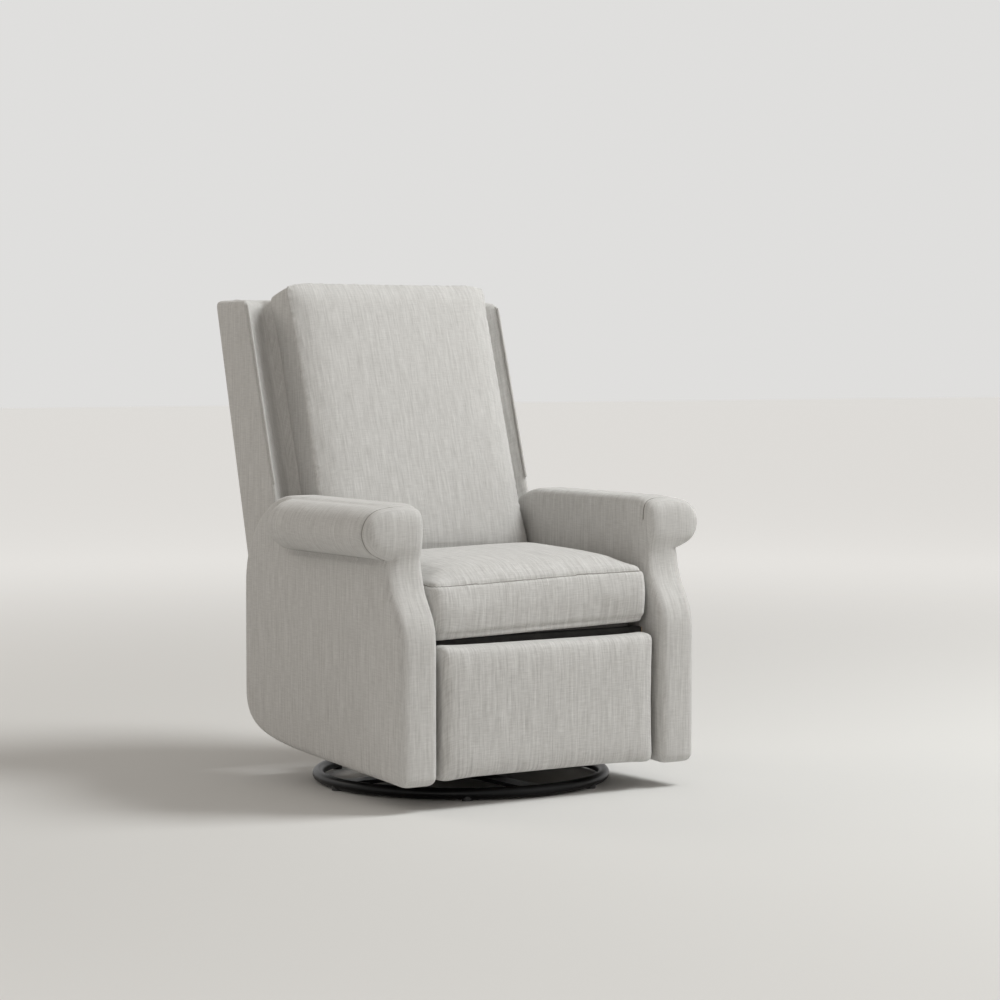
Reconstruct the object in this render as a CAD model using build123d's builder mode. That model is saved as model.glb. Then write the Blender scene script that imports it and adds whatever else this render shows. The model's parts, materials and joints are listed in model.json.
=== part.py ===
"""Swivel glider recliner: an upholstered wing-back nursery chair on a round steel base.

Millimetres. The origin is where the swivel axis meets the floor, +Z is up, the chair
faces -Y and the sitter's right hand side is -X ("left" below is left as seen from the front).
"""
import os
from math import atan2, cos, degrees, hypot, radians, sin

from build123d import *

# Round base on the floor
BASE_RADIUS = 322.0
RIM_TUBE_RADIUS = 12.0
FOOT_COUNT = 6
FOOT_RADIUS = 11.0
FOOT_LIFT = 3.0
FOOT_WRAP = 7.0
SPOKE_WIDTH = 42.0
SPOKE_THICKNESS = 8.0
HUB_RADIUS = 105.0
HUB_THICKNESS = 6.0

# Swivel bearing
RACE_INNER_RADIUS = 46.0
RACE_OUTER_RADIUS = 84.0
RACE_THICKNESS = 8.0
BALL_RADIUS = 6.0
BALL_COUNT = 12
BALL_SINK = 4.0
BOLT_RADIUS = 10.0
BOLT_HEAD_RADIUS = 17.0
BOLT_HEAD_HEIGHT = 7.0
NUT_HEIGHT = 9.0
WASHER_RADIUS = 22.0
WASHER_THICKNESS = 2.5

# Clearances
RUNNING_CLEARANCE = 0.05
LOOSE_CLEARANCE = 0.3

# Turntable and glide
TABLE_HALF_WIDTH = 158.0
TABLE_HALF_DEPTH = 175.0
TABLE_THICKNESS = 6.0
TABLE_SLOT_LENGTH = 98.0
TABLE_SLOT_SPAN_X = 158.0
TABLE_SLOT_SPAN_Y = 236.0
STEEL = 6.0
GLIDE_GAP = 6.0
GLIDE_PIVOT_Y = 130.0
GLIDE_PIVOT_Z = 205.0
GLIDE_LINK_LENGTH = 125.0
GLIDE_LINK_RADIUS = 15.0
PIN_RADIUS = 6.0
PIN_HEAD_HEIGHT = 4.0
RAIL_HALF_LENGTH = 290.0
RAIL_BELOW_PIN = 15.0
RAIL_HEIGHT = 48.0
RAIL_FRONT_TAB = 24.0
RAIL_REAR_TAB = 136.0
CROSS_TUBE_RADIUS = 12.0

# Seat frame
INSIDE_HALF_WIDTH = 279.0
SIDE_RAIL_THICKNESS = 27.0
SIDE_RAIL_FRONT = -285.0
SIDE_RAIL_BACK = 232.0
SEAT_RAIL_TOP = 338.0
SEAT_RAIL_DEPTH = 20.0
SEAT_RAIL_WIDTH = 32.0
REAR_RAIL_Y = 62.0
SPRING_WIRE_RADIUS = 2.0
SPRING_COUNT = 4
SPRING_SPACING = 110.0
SPRING_BEND_RADIUS = 22.0
SPRING_LEG = 26.0

# Seat cushion
SEAT_SIDE_GAP = 7.0
SEAT_FRONT = -326.0
SEAT_BACK = 92.0
SEAT_BOTTOM = 351.0
SEAT_EDGE_TOP = 455.0
SEAT_CROWN = 496.0
SEAT_ROUNDING = 24.0

# Arms
ARM_THICKNESS = 88.0
ARM_BOTTOM = 50.0
ARM_FRONT = -358.0
ARM_SHOULDER_Z = 335.0
ARM_NECK_Y = -302.0
ARM_NECK_Z = 505.0
ARM_BACK = 308.0
ARM_ARC_Y = 112.0
ARM_ARC_Z = 419.0
ARM_ROUNDING = 18.0
ROLL_OVER_ARM = 85.0
ROLL_Z = 558.0
ROLL_RADIUS = 56.0
ROLL_FRONT = -318.0
ROLL_BACK = 160.0
ROLL_CAP_ROUNDING = 26.0
ROLL_TAIL_ROUNDING = 40.0
BOARD_THICKNESS = 18.0
BOARD_FRONT = -262.0
BOARD_BACK = 240.0
BOARD_BOTTOM = 118.0
BOARD_TOP = 470.0
BOARD_HOLE_RADIUS = 45.0

# Swept-up rear hem of the arms, and the tail panel between them
TAIL_SWEEP_Z = 205.0
TAIL_SWEEP_Y = 90.0
TAIL_SWEEP_LOW = 77.0
TAIL_THICKNESS = 16.0
TAIL_FRONT = 288.0
TAIL_BOTTOM = 190.0
TAIL_TOP = 345.0

# Reclining back, measured from the foot of the cushion's front face
LEAN = 17.0
BACK_FOOT_Y = 117.0
BACK_FOOT_Z = 497.0
BACK_PIVOT_Y = 160.0
BACK_PIVOT_Z = 300.0
BACK_TOP = 590.0
CUSHION_BELOW = 40.0
CUSHION_SIDE_GAP = 2.0
CUSHION_TAPER = 18.0
CUSHION_DEPTH = 100.0
CUSHION_ROUNDING = 22.0
FRAME_DEPTH = 30.0
FRAME_RAIL = 55.0
FRAME_TOP = 535.0
FRAME_BELOW = 52.0
WING_INSET = 9.0
WING_WIDTH = 64.0
WING_FRONT = 69.0
WING_SLOPE = 52.0
BACK_DEPTH = 216.0
BACK_SKIN = 22.0
WING_TOP_Z = 1032.0
WING_ROUNDING = 20.0
WING_ARM_GAP = 9.0
SKIN_BOTTOM_Z = 452.0
APRON_THICKNESS = 6.0
APRON_GAP = 5.0
APRON_OVERLAP = 5.0
HINGE_PLATE_WIDTH = 36.0
HINGE_PIN_RADIUS = 9.0
STRAP_WIDTH = 50.0
STRAP_THICKNESS = 2.0
STRAP_COUNT = 5

# Leg rest
REST_SIDE_GAP = 7.0
REST_BOTTOM = 49.0
REST_TOP = 331.0
REST_FRONT = -353.0
REST_PAD_BACK = -316.0
REST_BOARD_BACK = -300.0
REST_ROUNDING = 14.0
REST_BOARD_INSET = 10.0

# Leg rest linkage: two parallelograms on each side, seen along X when folded
REST_PIVOT_Y = -90.0
REST_PIVOT_Z = 284.0
LONG_LINK = 211.0
LONG_LINK_ANGLE = -69.5
SCISSOR_AT = 141.0
REAR_PIVOT_SPAN = 83.0
REAR_PIVOT_RISE = 5.0
REACH_FORWARD = 245.0
REACH_UP = 114.0
LINK_HALF_WIDTH = 12.0
LINK_THICKNESS = 5.0
LINK_PITCH = 7.0
PLATE_GAP = 1.0
SHAFT_RADIUS = 8.0
RIVET_RADIUS = 5.0

# Places across the chair, all from the inside width between the arms
SEAT_HALF_WIDTH = INSIDE_HALF_WIDTH - SEAT_SIDE_GAP
REST_HALF_WIDTH = INSIDE_HALF_WIDTH - REST_SIDE_GAP
ARM_OUTSIDE = INSIDE_HALF_WIDTH + ARM_THICKNESS
ROLL_X = INSIDE_HALF_WIDTH + ROLL_OVER_ARM
WING_INSIDE = INSIDE_HALF_WIDTH - WING_INSET
WING_OUTSIDE = WING_INSIDE + WING_WIDTH
CUSHION_HALF_BOTTOM = WING_INSIDE - CUSHION_SIDE_GAP
CUSHION_HALF_TOP = CUSHION_HALF_BOTTOM - CUSHION_TAPER

os.makedirs("parts", exist_ok=True)


def save(piece, name):
    """Label a finished piece and write it as its own file."""
    piece.label = name
    export_step(piece, f"parts/{name}.step")


def both_sides(piece, name):
    """Write a piece modelled at +X and its mirror image at -X."""
    save(mirror(piece, about=Plane.YZ), f"left_{name}")
    save(piece, f"right_{name}")


# Round base: a bent tube on plastic feet, crossed by two flat spokes
RIM_RADIUS = BASE_RADIUS - RIM_TUBE_RADIUS
RIM_Z = FOOT_LIFT + RIM_TUBE_RADIUS
SPOKE_BOTTOM = RIM_Z - SPOKE_THICKNESS / 2
SPOKE_TOP = SPOKE_BOTTOM + SPOKE_THICKNESS

with BuildPart() as base_ring:
    with BuildSketch(Plane.XZ):
        with Locations((RIM_RADIUS, RIM_Z)):
            Circle(RIM_TUBE_RADIUS)
    revolve(axis=Axis.Z)
save(base_ring.part, "base_ring")

with BuildPart() as rim_space:
    with BuildSketch(Plane.XZ):
        with Locations((RIM_RADIUS, RIM_Z)):
            Circle(RIM_TUBE_RADIUS + RUNNING_CLEARANCE)
    revolve(axis=Axis.Z)

with BuildPart() as floor_feet:
    with PolarLocations(RIM_RADIUS, FOOT_COUNT):
        Cylinder(FOOT_RADIUS, FOOT_LIFT + FOOT_WRAP, align=(Align.CENTER, Align.CENTER, Align.MIN))
    add(rim_space.part, mode=Mode.SUBTRACT)
save(floor_feet.part, "floor_feet")

with BuildPart() as base_spokes:
    with Locations((0, 0, RIM_Z)):
        Box(2 * RIM_RADIUS, SPOKE_WIDTH, SPOKE_THICKNESS)
        Box(SPOKE_WIDTH, 2 * RIM_RADIUS, SPOKE_THICKNESS)
    inner_corners = base_spokes.edges().filter_by(Axis.Z).sort_by(lambda edge: edge.center().length)[:4]
    fillet(inner_corners, SPOKE_WIDTH)
    add(rim_space.part, mode=Mode.SUBTRACT)
    with Locations((0, 0, RIM_Z)):
        Cylinder(BOLT_RADIUS + RUNNING_CLEARANCE, SPOKE_THICKNESS, mode=Mode.SUBTRACT)
save(base_spokes.part, "base_spokes")

HUB_TOP = SPOKE_TOP + HUB_THICKNESS
with BuildPart() as hub_plate:
    with BuildSketch(Plane.XY.offset(SPOKE_TOP)):
        Circle(HUB_RADIUS)
        Circle(BOLT_RADIUS + RUNNING_CLEARANCE, mode=Mode.SUBTRACT)
    extrude(amount=HUB_THICKNESS)
    chamfer(hub_plate.edges().filter_by(GeomType.CIRCLE).sort_by(Axis.Z)[-1:], HUB_THICKNESS / 4)
save(hub_plate.part, "hub_plate")

# Swivel bearing: two grooved races with balls between them, held by one bolt
BALL_TRACK = (RACE_INNER_RADIUS + RACE_OUTER_RADIUS) / 2
BALL_Z = HUB_TOP + RACE_THICKNESS - BALL_SINK + BALL_RADIUS
UPPER_RACE_Z = BALL_Z + BALL_RADIUS - BALL_SINK
TABLE_Z = UPPER_RACE_Z + RACE_THICKNESS
TABLE_TOP = TABLE_Z + TABLE_THICKNESS


def race(bottom):
    """A flat ring with a ball groove, standing on the height given."""
    with BuildPart() as ring:
        with BuildSketch(Plane.XZ):
            with Locations((BALL_TRACK, bottom + RACE_THICKNESS / 2)):
                Rectangle(RACE_OUTER_RADIUS - RACE_INNER_RADIUS, RACE_THICKNESS)
            with Locations((BALL_TRACK, BALL_Z)):
                Circle(BALL_RADIUS + LOOSE_CLEARANCE, mode=Mode.SUBTRACT)
        revolve(axis=Axis.Z)
    return ring.part


save(race(HUB_TOP), "lower_race")
save(race(UPPER_RACE_Z), "upper_race")

with BuildPart() as bearing_balls:
    with Locations((0, 0, BALL_Z)):
        with PolarLocations(BALL_TRACK, BALL_COUNT):
            Sphere(BALL_RADIUS)
save(bearing_balls.part, "bearing_balls")

WASHER_Z = TABLE_TOP + LOOSE_CLEARANCE
NUT_Z = WASHER_Z + WASHER_THICKNESS
with BuildPart() as swivel_bolt:
    with BuildSketch(Plane.XY.offset(SPOKE_BOTTOM - BOLT_HEAD_HEIGHT)):
        RegularPolygon(BOLT_HEAD_RADIUS, 6)
    extrude(amount=BOLT_HEAD_HEIGHT)
    with BuildSketch(Plane.XY.offset(SPOKE_BOTTOM)):
        Circle(BOLT_RADIUS)
    extrude(amount=NUT_Z + NUT_HEIGHT + PIN_HEAD_HEIGHT - SPOKE_BOTTOM)
save(swivel_bolt.part, "swivel_bolt")

with BuildPart() as swivel_nut:
    with BuildSketch(Plane.XY.offset(WASHER_Z)):
        Circle(WASHER_RADIUS)
        Circle(BOLT_RADIUS + RUNNING_CLEARANCE, mode=Mode.SUBTRACT)
    extrude(amount=WASHER_THICKNESS)
    with BuildSketch(Plane.XY.offset(NUT_Z)):
        RegularPolygon(BOLT_HEAD_RADIUS, 6)
        Circle(BOLT_RADIUS + RUNNING_CLEARANCE, mode=Mode.SUBTRACT)
    extrude(amount=NUT_HEIGHT)
save(swivel_nut.part, "swivel_nut")

# Turntable with the two uprights that the seat hangs from
with BuildPart() as turntable_plate:
    with BuildSketch(Plane.XY.offset(TABLE_Z)):
        RectangleRounded(2 * TABLE_HALF_WIDTH, 2 * TABLE_HALF_DEPTH, HUB_RADIUS / 4)
        Circle(BOLT_RADIUS + RUNNING_CLEARANCE, mode=Mode.SUBTRACT)
        with GridLocations(TABLE_SLOT_SPAN_X, TABLE_SLOT_SPAN_Y, 2, 2):
            SlotOverall(TABLE_SLOT_LENGTH, SPOKE_WIDTH, mode=Mode.SUBTRACT)
    extrude(amount=TABLE_THICKNESS)
save(turntable_plate.part, "turntable_plate")

LINK_X = TABLE_HALF_WIDTH + GLIDE_GAP
RAIL_X = LINK_X + STEEL + GLIDE_GAP
GLIDE_LOW_Z = GLIDE_PIVOT_Z - GLIDE_LINK_LENGTH
EAR_RADIUS = GLIDE_LINK_RADIUS + PIN_HEAD_HEIGHT

with BuildPart() as glide_upright:
    with BuildSketch(Plane.YZ.offset(TABLE_HALF_WIDTH - STEEL)):
        with BuildLine():
            Polyline(
                (-GLIDE_PIVOT_Y - EAR_RADIUS, GLIDE_PIVOT_Z),
                (-TABLE_HALF_DEPTH + EAR_RADIUS, TABLE_TOP),
                (TABLE_HALF_DEPTH - EAR_RADIUS, TABLE_TOP),
                (GLIDE_PIVOT_Y + EAR_RADIUS, GLIDE_PIVOT_Z),
                (GLIDE_PIVOT_Y - EAR_RADIUS, GLIDE_PIVOT_Z),
            )
            ThreePointArc(
                (GLIDE_PIVOT_Y - EAR_RADIUS, GLIDE_PIVOT_Z),
                (0, (GLIDE_PIVOT_Z + 2 * TABLE_TOP) / 3),
                (-GLIDE_PIVOT_Y + EAR_RADIUS, GLIDE_PIVOT_Z),
            )
            Line((-GLIDE_PIVOT_Y + EAR_RADIUS, GLIDE_PIVOT_Z), (-GLIDE_PIVOT_Y - EAR_RADIUS, GLIDE_PIVOT_Z))
        make_face()
        with Locations((-GLIDE_PIVOT_Y, GLIDE_PIVOT_Z), (GLIDE_PIVOT_Y, GLIDE_PIVOT_Z)):
            Circle(EAR_RADIUS)
            Circle(PIN_RADIUS + RUNNING_CLEARANCE, mode=Mode.SUBTRACT)
    extrude(amount=STEEL)
both_sides(glide_upright.part, "glide_upright")


def pin(x, y, z, shank, radius=PIN_RADIUS):
    """A headed pin whose shank starts at x and runs along X; a negative shank runs towards -X."""
    way = 1 if shank > 0 else -1
    with BuildPart() as headed_pin:
        with BuildSketch(Plane.YZ.offset(x)):
            with Locations((y, z)):
                Circle(radius)
        extrude(amount=shank)
        with BuildSketch(Plane.YZ.offset(x)):
            with Locations((y, z)):
                Circle(radius + PIN_HEAD_HEIGHT)
        extrude(amount=-way * PIN_HEAD_HEIGHT)
    return headed_pin.part


def pins_both_sides(places, name):
    """Write one group of identical pins, each (x, y, z, shank) given at +X and mirrored to -X."""
    with BuildPart() as group:
        for place in places:
            add(pin(*place))
        mirror(about=Plane.YZ)
    save(group.part, name)


UPPER_SHANK = 2 * STEEL + GLIDE_GAP + GLIDE_GAP / 3
pins_both_sides(
    [(TABLE_HALF_WIDTH - STEEL, y, GLIDE_PIVOT_Z, UPPER_SHANK) for y in (-GLIDE_PIVOT_Y, GLIDE_PIVOT_Y)],
    "glide_upper_pins",
)
pins_both_sides(
    [(RAIL_X + STEEL, y, GLIDE_LOW_Z, -UPPER_SHANK) for y in (-GLIDE_PIVOT_Y, GLIDE_PIVOT_Y)],
    "glide_lower_pins",
)


def flat_link(x, start, end, half_width, thickness, bores):
    """A flat bar with round ends between two (y, z) points, with bores at the points listed."""
    length = hypot(end[0] - start[0], end[1] - start[1])
    turn = degrees(atan2(end[1] - start[1], end[0] - start[0]))
    middle = ((start[0] + end[0]) / 2, (start[1] + end[1]) / 2)
    with BuildPart() as bar:
        with BuildSketch(Plane.YZ.offset(x)):
            with Locations(middle):
                SlotCenterToCenter(length, 2 * half_width, rotation=turn)
            for place, radius in bores:
                with Locations(place):
                    Circle(radius, mode=Mode.SUBTRACT)
        extrude(amount=thickness)
    return bar.part


PIN_BORE = PIN_RADIUS + RUNNING_CLEARANCE
for name, y in (("front_glide_links", -GLIDE_PIVOT_Y), ("rear_glide_links", GLIDE_PIVOT_Y)):
    top = (y, GLIDE_PIVOT_Z)
    low = (y, GLIDE_LOW_Z)
    with BuildPart() as glide_links:
        add(flat_link(LINK_X, top, low, GLIDE_LINK_RADIUS, STEEL, ((top, PIN_BORE), (low, PIN_BORE))))
        mirror(about=Plane.YZ)
    save(glide_links.part, name)

# Platform: two angle rails on the hanging links, joined by cross tubes
RAIL_BOTTOM = GLIDE_LOW_Z - RAIL_BELOW_PIN
RAIL_TOP = RAIL_BOTTOM + RAIL_HEIGHT
CROSS_TUBE_Y = RAIL_HALF_LENGTH - CROSS_TUBE_RADIUS - STEEL / 2
TAB_WIDTH = INSIDE_HALF_WIDTH - RAIL_X

with BuildPart() as platform_rail:
    with BuildSketch(Plane.YZ.offset(RAIL_X)):
        with Locations((0, RAIL_BOTTOM + RAIL_HEIGHT / 2)):
            RectangleRounded(2 * RAIL_HALF_LENGTH, RAIL_HEIGHT, RAIL_HEIGHT / 6)
        with Locations((-GLIDE_PIVOT_Y, GLIDE_LOW_Z), (GLIDE_PIVOT_Y, GLIDE_LOW_Z)):
            Circle(PIN_BORE, mode=Mode.SUBTRACT)
    extrude(amount=STEEL)
    with BuildSketch(Plane.XY.offset(RAIL_TOP)):
        with Locations((RAIL_X, -RAIL_HALF_LENGTH + RAIL_HEIGHT / 6)):
            Rectangle(TAB_WIDTH, RAIL_FRONT_TAB, align=(Align.MIN, Align.MIN))
        with Locations((RAIL_X, SIDE_RAIL_BACK)):
            Rectangle(TAB_WIDTH, RAIL_REAR_TAB, align=(Align.MIN, Align.MAX))
    extrude(amount=-STEEL)
both_sides(platform_rail.part, "platform_rail")

with BuildPart() as cross_tubes:
    with BuildSketch(Plane.YZ.offset(-RAIL_X)):
        with Locations((-CROSS_TUBE_Y, RAIL_BOTTOM + RAIL_HEIGHT / 2), (CROSS_TUBE_Y, RAIL_BOTTOM + RAIL_HEIGHT / 2)):
            Circle(CROSS_TUBE_RADIUS)
            Circle(CROSS_TUBE_RADIUS - SPRING_WIRE_RADIUS, mode=Mode.SUBTRACT)
    extrude(amount=2 * RAIL_X)
save(cross_tubes.part, "cross_tubes")

# Wooden seat frame between the arms
SIDE_RAIL_X = INSIDE_HALF_WIDTH - SIDE_RAIL_THICKNESS
HINGE_PLATE_X = SIDE_RAIL_X - 2 * STEEL

with BuildPart() as side_rail:
    with BuildSketch(Plane.YZ.offset(SIDE_RAIL_X)):
        with BuildLine():
            Polyline(
                (SIDE_RAIL_FRONT, RAIL_TOP),
                (SIDE_RAIL_BACK, RAIL_TOP),
                (SIDE_RAIL_BACK, BACK_PIVOT_Z + SEAT_RAIL_WIDTH),
                (REAR_RAIL_Y + SEAT_RAIL_WIDTH, SEAT_RAIL_TOP),
                (SIDE_RAIL_FRONT, SEAT_RAIL_TOP),
                close=True,
            )
        make_face()
        with Locations((BACK_PIVOT_Y, BACK_PIVOT_Z)):
            Circle(HINGE_PIN_RADIUS + RUNNING_CLEARANCE, mode=Mode.SUBTRACT)
    extrude(amount=SIDE_RAIL_THICKNESS)
both_sides(side_rail.part, "side_rail")


def cross_rail(front):
    """A wooden rail across the seat, between the side rails, with its front face at the y given."""
    with BuildPart() as rail:
        with BuildSketch(Plane.XY.offset(SEAT_RAIL_TOP)):
            with Locations((0, front)):
                Rectangle(2 * SIDE_RAIL_X, SEAT_RAIL_WIDTH, align=(Align.CENTER, Align.MIN))
        extrude(amount=-SEAT_RAIL_DEPTH)
        chamfer(rail.edges().filter_by(Axis.X), SPRING_WIRE_RADIUS)
    return rail.part


save(cross_rail(SIDE_RAIL_FRONT), "front_seat_rail")
save(cross_rail(REAR_RAIL_Y), "rear_seat_rail")

# Zigzag seat springs, laid from rail to rail under a padded deck
SPRING_START = SIDE_RAIL_FRONT + SEAT_RAIL_WIDTH / 2
SPRING_RUN = REAR_RAIL_Y + SEAT_RAIL_WIDTH / 2 - SPRING_START
SPRING_BENDS = int(SPRING_RUN / (2 * SPRING_BEND_RADIUS))
SPRING_PITCH = SPRING_RUN / SPRING_BENDS
SPRING_Z = SEAT_RAIL_TOP + SPRING_WIRE_RADIUS

with BuildPart() as one_spring:
    with BuildLine(Plane.XY.offset(SPRING_Z)) as spring_path:
        for bend in range(SPRING_BENDS + 1):
            side = 1 if bend % 2 else -1
            y = SPRING_START + bend * SPRING_PITCH
            Line((-side * SPRING_LEG / 2, y), (side * SPRING_LEG / 2, y))
            if bend < SPRING_BENDS:
                ThreePointArc(
                    (side * SPRING_LEG / 2, y),
                    (side * (SPRING_LEG + SPRING_PITCH) / 2, y + SPRING_PITCH / 2),
                    (side * SPRING_LEG / 2, y + SPRING_PITCH),
                )
    with BuildSketch(Plane(origin=spring_path.line @ 0, z_dir=spring_path.line % 0)):
        Circle(SPRING_WIRE_RADIUS)
    sweep()

with BuildPart() as seat_springs:
    with GridLocations(SPRING_SPACING, 1, SPRING_COUNT, 1):
        add(one_spring.part)
save(seat_springs.part, "seat_springs")

DECK_BOTTOM = SPRING_Z + SPRING_WIRE_RADIUS
with BuildPart() as seat_deck:
    with BuildSketch(Plane.XY.offset(DECK_BOTTOM)):
        with Locations((0, SIDE_RAIL_FRONT)):
            Rectangle(
                2 * SIDE_RAIL_X,
                REAR_RAIL_Y + SEAT_RAIL_WIDTH - SIDE_RAIL_FRONT,
                align=(Align.CENTER, Align.MIN),
            )
    extrude(amount=SEAT_BOTTOM - LOOSE_CLEARANCE - DECK_BOTTOM)
    fillet(seat_deck.edges().filter_by(Axis.Z), SEAT_ROUNDING)
save(seat_deck.part, "seat_deck")

with BuildPart() as seat_cushion:
    with BuildSketch(Plane.YZ.offset(-SEAT_HALF_WIDTH)):
        with BuildLine():
            Polyline(
                (SEAT_FRONT, SEAT_EDGE_TOP),
                (SEAT_FRONT, SEAT_BOTTOM),
                (SEAT_BACK, SEAT_BOTTOM),
                (SEAT_BACK, SEAT_CROWN),
            )
            ThreePointArc(
                (SEAT_BACK, SEAT_CROWN),
                ((SEAT_FRONT + SEAT_BACK) / 2, (SEAT_EDGE_TOP + 3 * SEAT_CROWN) / 4),
                (SEAT_FRONT, SEAT_EDGE_TOP),
            )
        make_face()
    extrude(amount=2 * SEAT_HALF_WIDTH)
    fillet(seat_cushion.edges().filter_by(Axis.Z), SEAT_ROUNDING)
    fillet(seat_cushion.faces().sort_by(Axis.Z)[-1].edges(), SEAT_ROUNDING)
save(seat_cushion.part, "seat_cushion")

# Upholstered arms: a panel with a swept-in front and a rounded back, under a rolled top
ARM_ARC_RADIUS = ARM_BACK - ARM_ARC_Y
ARM_TOP = ARM_ARC_Z + ARM_ARC_RADIUS
ROLL_LENGTH = ROLL_BACK - ROLL_FRONT

with BuildPart() as arm_panel:
    with BuildSketch(Plane.YZ.offset(INSIDE_HALF_WIDTH)):
        with BuildLine():
            Line((ARM_FRONT, ARM_BOTTOM), (ARM_FRONT, ARM_SHOULDER_Z))
            Bezier(
                (ARM_FRONT, ARM_SHOULDER_Z),
                (ARM_FRONT, (ARM_SHOULDER_Z + ARM_NECK_Z) / 2),
                (ARM_NECK_Y, (ARM_SHOULDER_Z + ARM_NECK_Z) / 2),
                (ARM_NECK_Y, ARM_NECK_Z),
            )
            Line((ARM_NECK_Y, ARM_NECK_Z), (ARM_NECK_Y, ROLL_Z))
            Line((ARM_NECK_Y, ROLL_Z), (ARM_NECK_Y + ROLL_RADIUS / 2, ARM_TOP - ARM_ROUNDING / 2))
            Line((ARM_NECK_Y + ROLL_RADIUS / 2, ARM_TOP - ARM_ROUNDING / 2), (ARM_ARC_Y, ARM_TOP))
            CenterArc((ARM_ARC_Y, ARM_ARC_Z), ARM_ARC_RADIUS, 90, -90)
            Line((ARM_BACK, ARM_ARC_Z), (ARM_BACK, TAIL_SWEEP_Z))
            Bezier(
                (ARM_BACK, TAIL_SWEEP_Z),
                (ARM_BACK, (TAIL_SWEEP_Z + 2 * TAIL_SWEEP_LOW) / 3),
                (2 * TAIL_SWEEP_Y, TAIL_SWEEP_LOW + ARM_ROUNDING),
                (TAIL_SWEEP_Y, TAIL_SWEEP_LOW),
            )
            Line((TAIL_SWEEP_Y, TAIL_SWEEP_LOW), (ARM_FRONT, ARM_BOTTOM))
        make_face()
    extrude(amount=ARM_OUTSIDE - INSIDE_HALF_WIDTH)
    fillet(arm_panel.faces().sort_by(Axis.X)[-1].edges(), ARM_ROUNDING)
    inner_top = arm_panel.faces().sort_by(Axis.X)[0].edges().filter_by(lambda edge: edge.center().Z > ARM_NECK_Z)
    fillet(inner_top, ARM_ROUNDING)

with BuildPart() as arm_roll:
    with BuildSketch(Plane.XZ.offset(-ROLL_BACK)):
        with Locations((ROLL_X, ROLL_Z)):
            Circle(ROLL_RADIUS)
    extrude(amount=ROLL_LENGTH)
    fillet(arm_roll.edges().filter_by(GeomType.CIRCLE).sort_by(Axis.Y)[:1], ROLL_CAP_ROUNDING)
    fillet(arm_roll.edges().filter_by(GeomType.CIRCLE).sort_by(Axis.Y)[-1:], ROLL_TAIL_ROUNDING)

with BuildPart() as arm_cover:
    add(arm_panel.part)
    add(arm_roll.part)
    with BuildSketch(Plane.YZ.offset(INSIDE_HALF_WIDTH)):
        with Locations((BOARD_FRONT, BOARD_BOTTOM)):
            Rectangle(BOARD_BACK - BOARD_FRONT, BOARD_TOP - BOARD_BOTTOM, align=(Align.MIN, Align.MIN))
    extrude(amount=BOARD_THICKNESS, mode=Mode.SUBTRACT)
both_sides(arm_cover.part, "arm_cover")

with BuildPart() as arm_board:
    with BuildSketch(Plane.YZ.offset(INSIDE_HALF_WIDTH)):
        with Locations((BOARD_FRONT, BOARD_BOTTOM)):
            Rectangle(BOARD_BACK - BOARD_FRONT, BOARD_TOP - BOARD_BOTTOM, align=(Align.MIN, Align.MIN))
        with Locations(((BOARD_FRONT + BOARD_BACK) / 2, (SEAT_RAIL_TOP + BOARD_TOP) / 2)):
            SlotOverall((BOARD_BACK - BOARD_FRONT) / 2, 2 * BOARD_HOLE_RADIUS, mode=Mode.SUBTRACT)
    extrude(amount=BOARD_THICKNESS)
both_sides(arm_board.part, "arm_board")

with BuildPart() as tail_panel:
    with BuildSketch(Plane.XZ.offset(-TAIL_FRONT)):
        with Locations((0, TAIL_BOTTOM)):
            Rectangle(2 * INSIDE_HALF_WIDTH, TAIL_TOP - TAIL_BOTTOM, align=(Align.CENTER, Align.MIN))
    extrude(amount=-TAIL_THICKNESS)
    fillet(tail_panel.edges().filter_by(Axis.X).group_by(Axis.Y)[-1], TAIL_THICKNESS / 3)
save(tail_panel.part, "tail_panel")

# Reclining back, drawn in cross-sections square to its lean: x across, y into its depth
LEAN_SIN = sin(radians(LEAN))
LEAN_COS = cos(radians(LEAN))


def back_section(rise):
    """The cross-section plane of the back at a distance up its lean."""
    foot = (0, BACK_FOOT_Y + rise * LEAN_SIN, BACK_FOOT_Z + rise * LEAN_COS)
    return Plane(origin=foot, x_dir=(1, 0, 0), z_dir=(0, LEAN_SIN, LEAN_COS))


def back_face(depth):
    """The plane across the back at a depth behind the cushion's front face, facing the sitter."""
    foot = (0, BACK_FOOT_Y + depth * LEAN_COS, BACK_FOOT_Z - depth * LEAN_SIN)
    return Plane(origin=foot, x_dir=(1, 0, 0), z_dir=(0, -LEAN_COS, LEAN_SIN))


FRAME_FRONT = CUSHION_DEPTH + STRAP_THICKNESS + LOOSE_CLEARANCE
FRAME_BACK = FRAME_FRONT + FRAME_DEPTH
FRAME_HALF_WIDTH = HINGE_PLATE_X + STEEL + LOOSE_CLEARANCE
FRAME_LOW = FRAME_RAIL / 2
SKIN_FRONT = BACK_DEPTH - BACK_SKIN
BACK_REACH = 2 * BACK_TOP

with BuildPart() as arm_room:
    with BuildSketch(Plane.YZ.offset(WING_INSIDE)):
        with Locations((ARM_ARC_Y, ARM_ARC_Z)):
            Circle(ARM_ARC_RADIUS + WING_ARM_GAP)
    extrude(amount=ROLL_X - WING_INSIDE)
    mirror(about=Plane.YZ)

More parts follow.
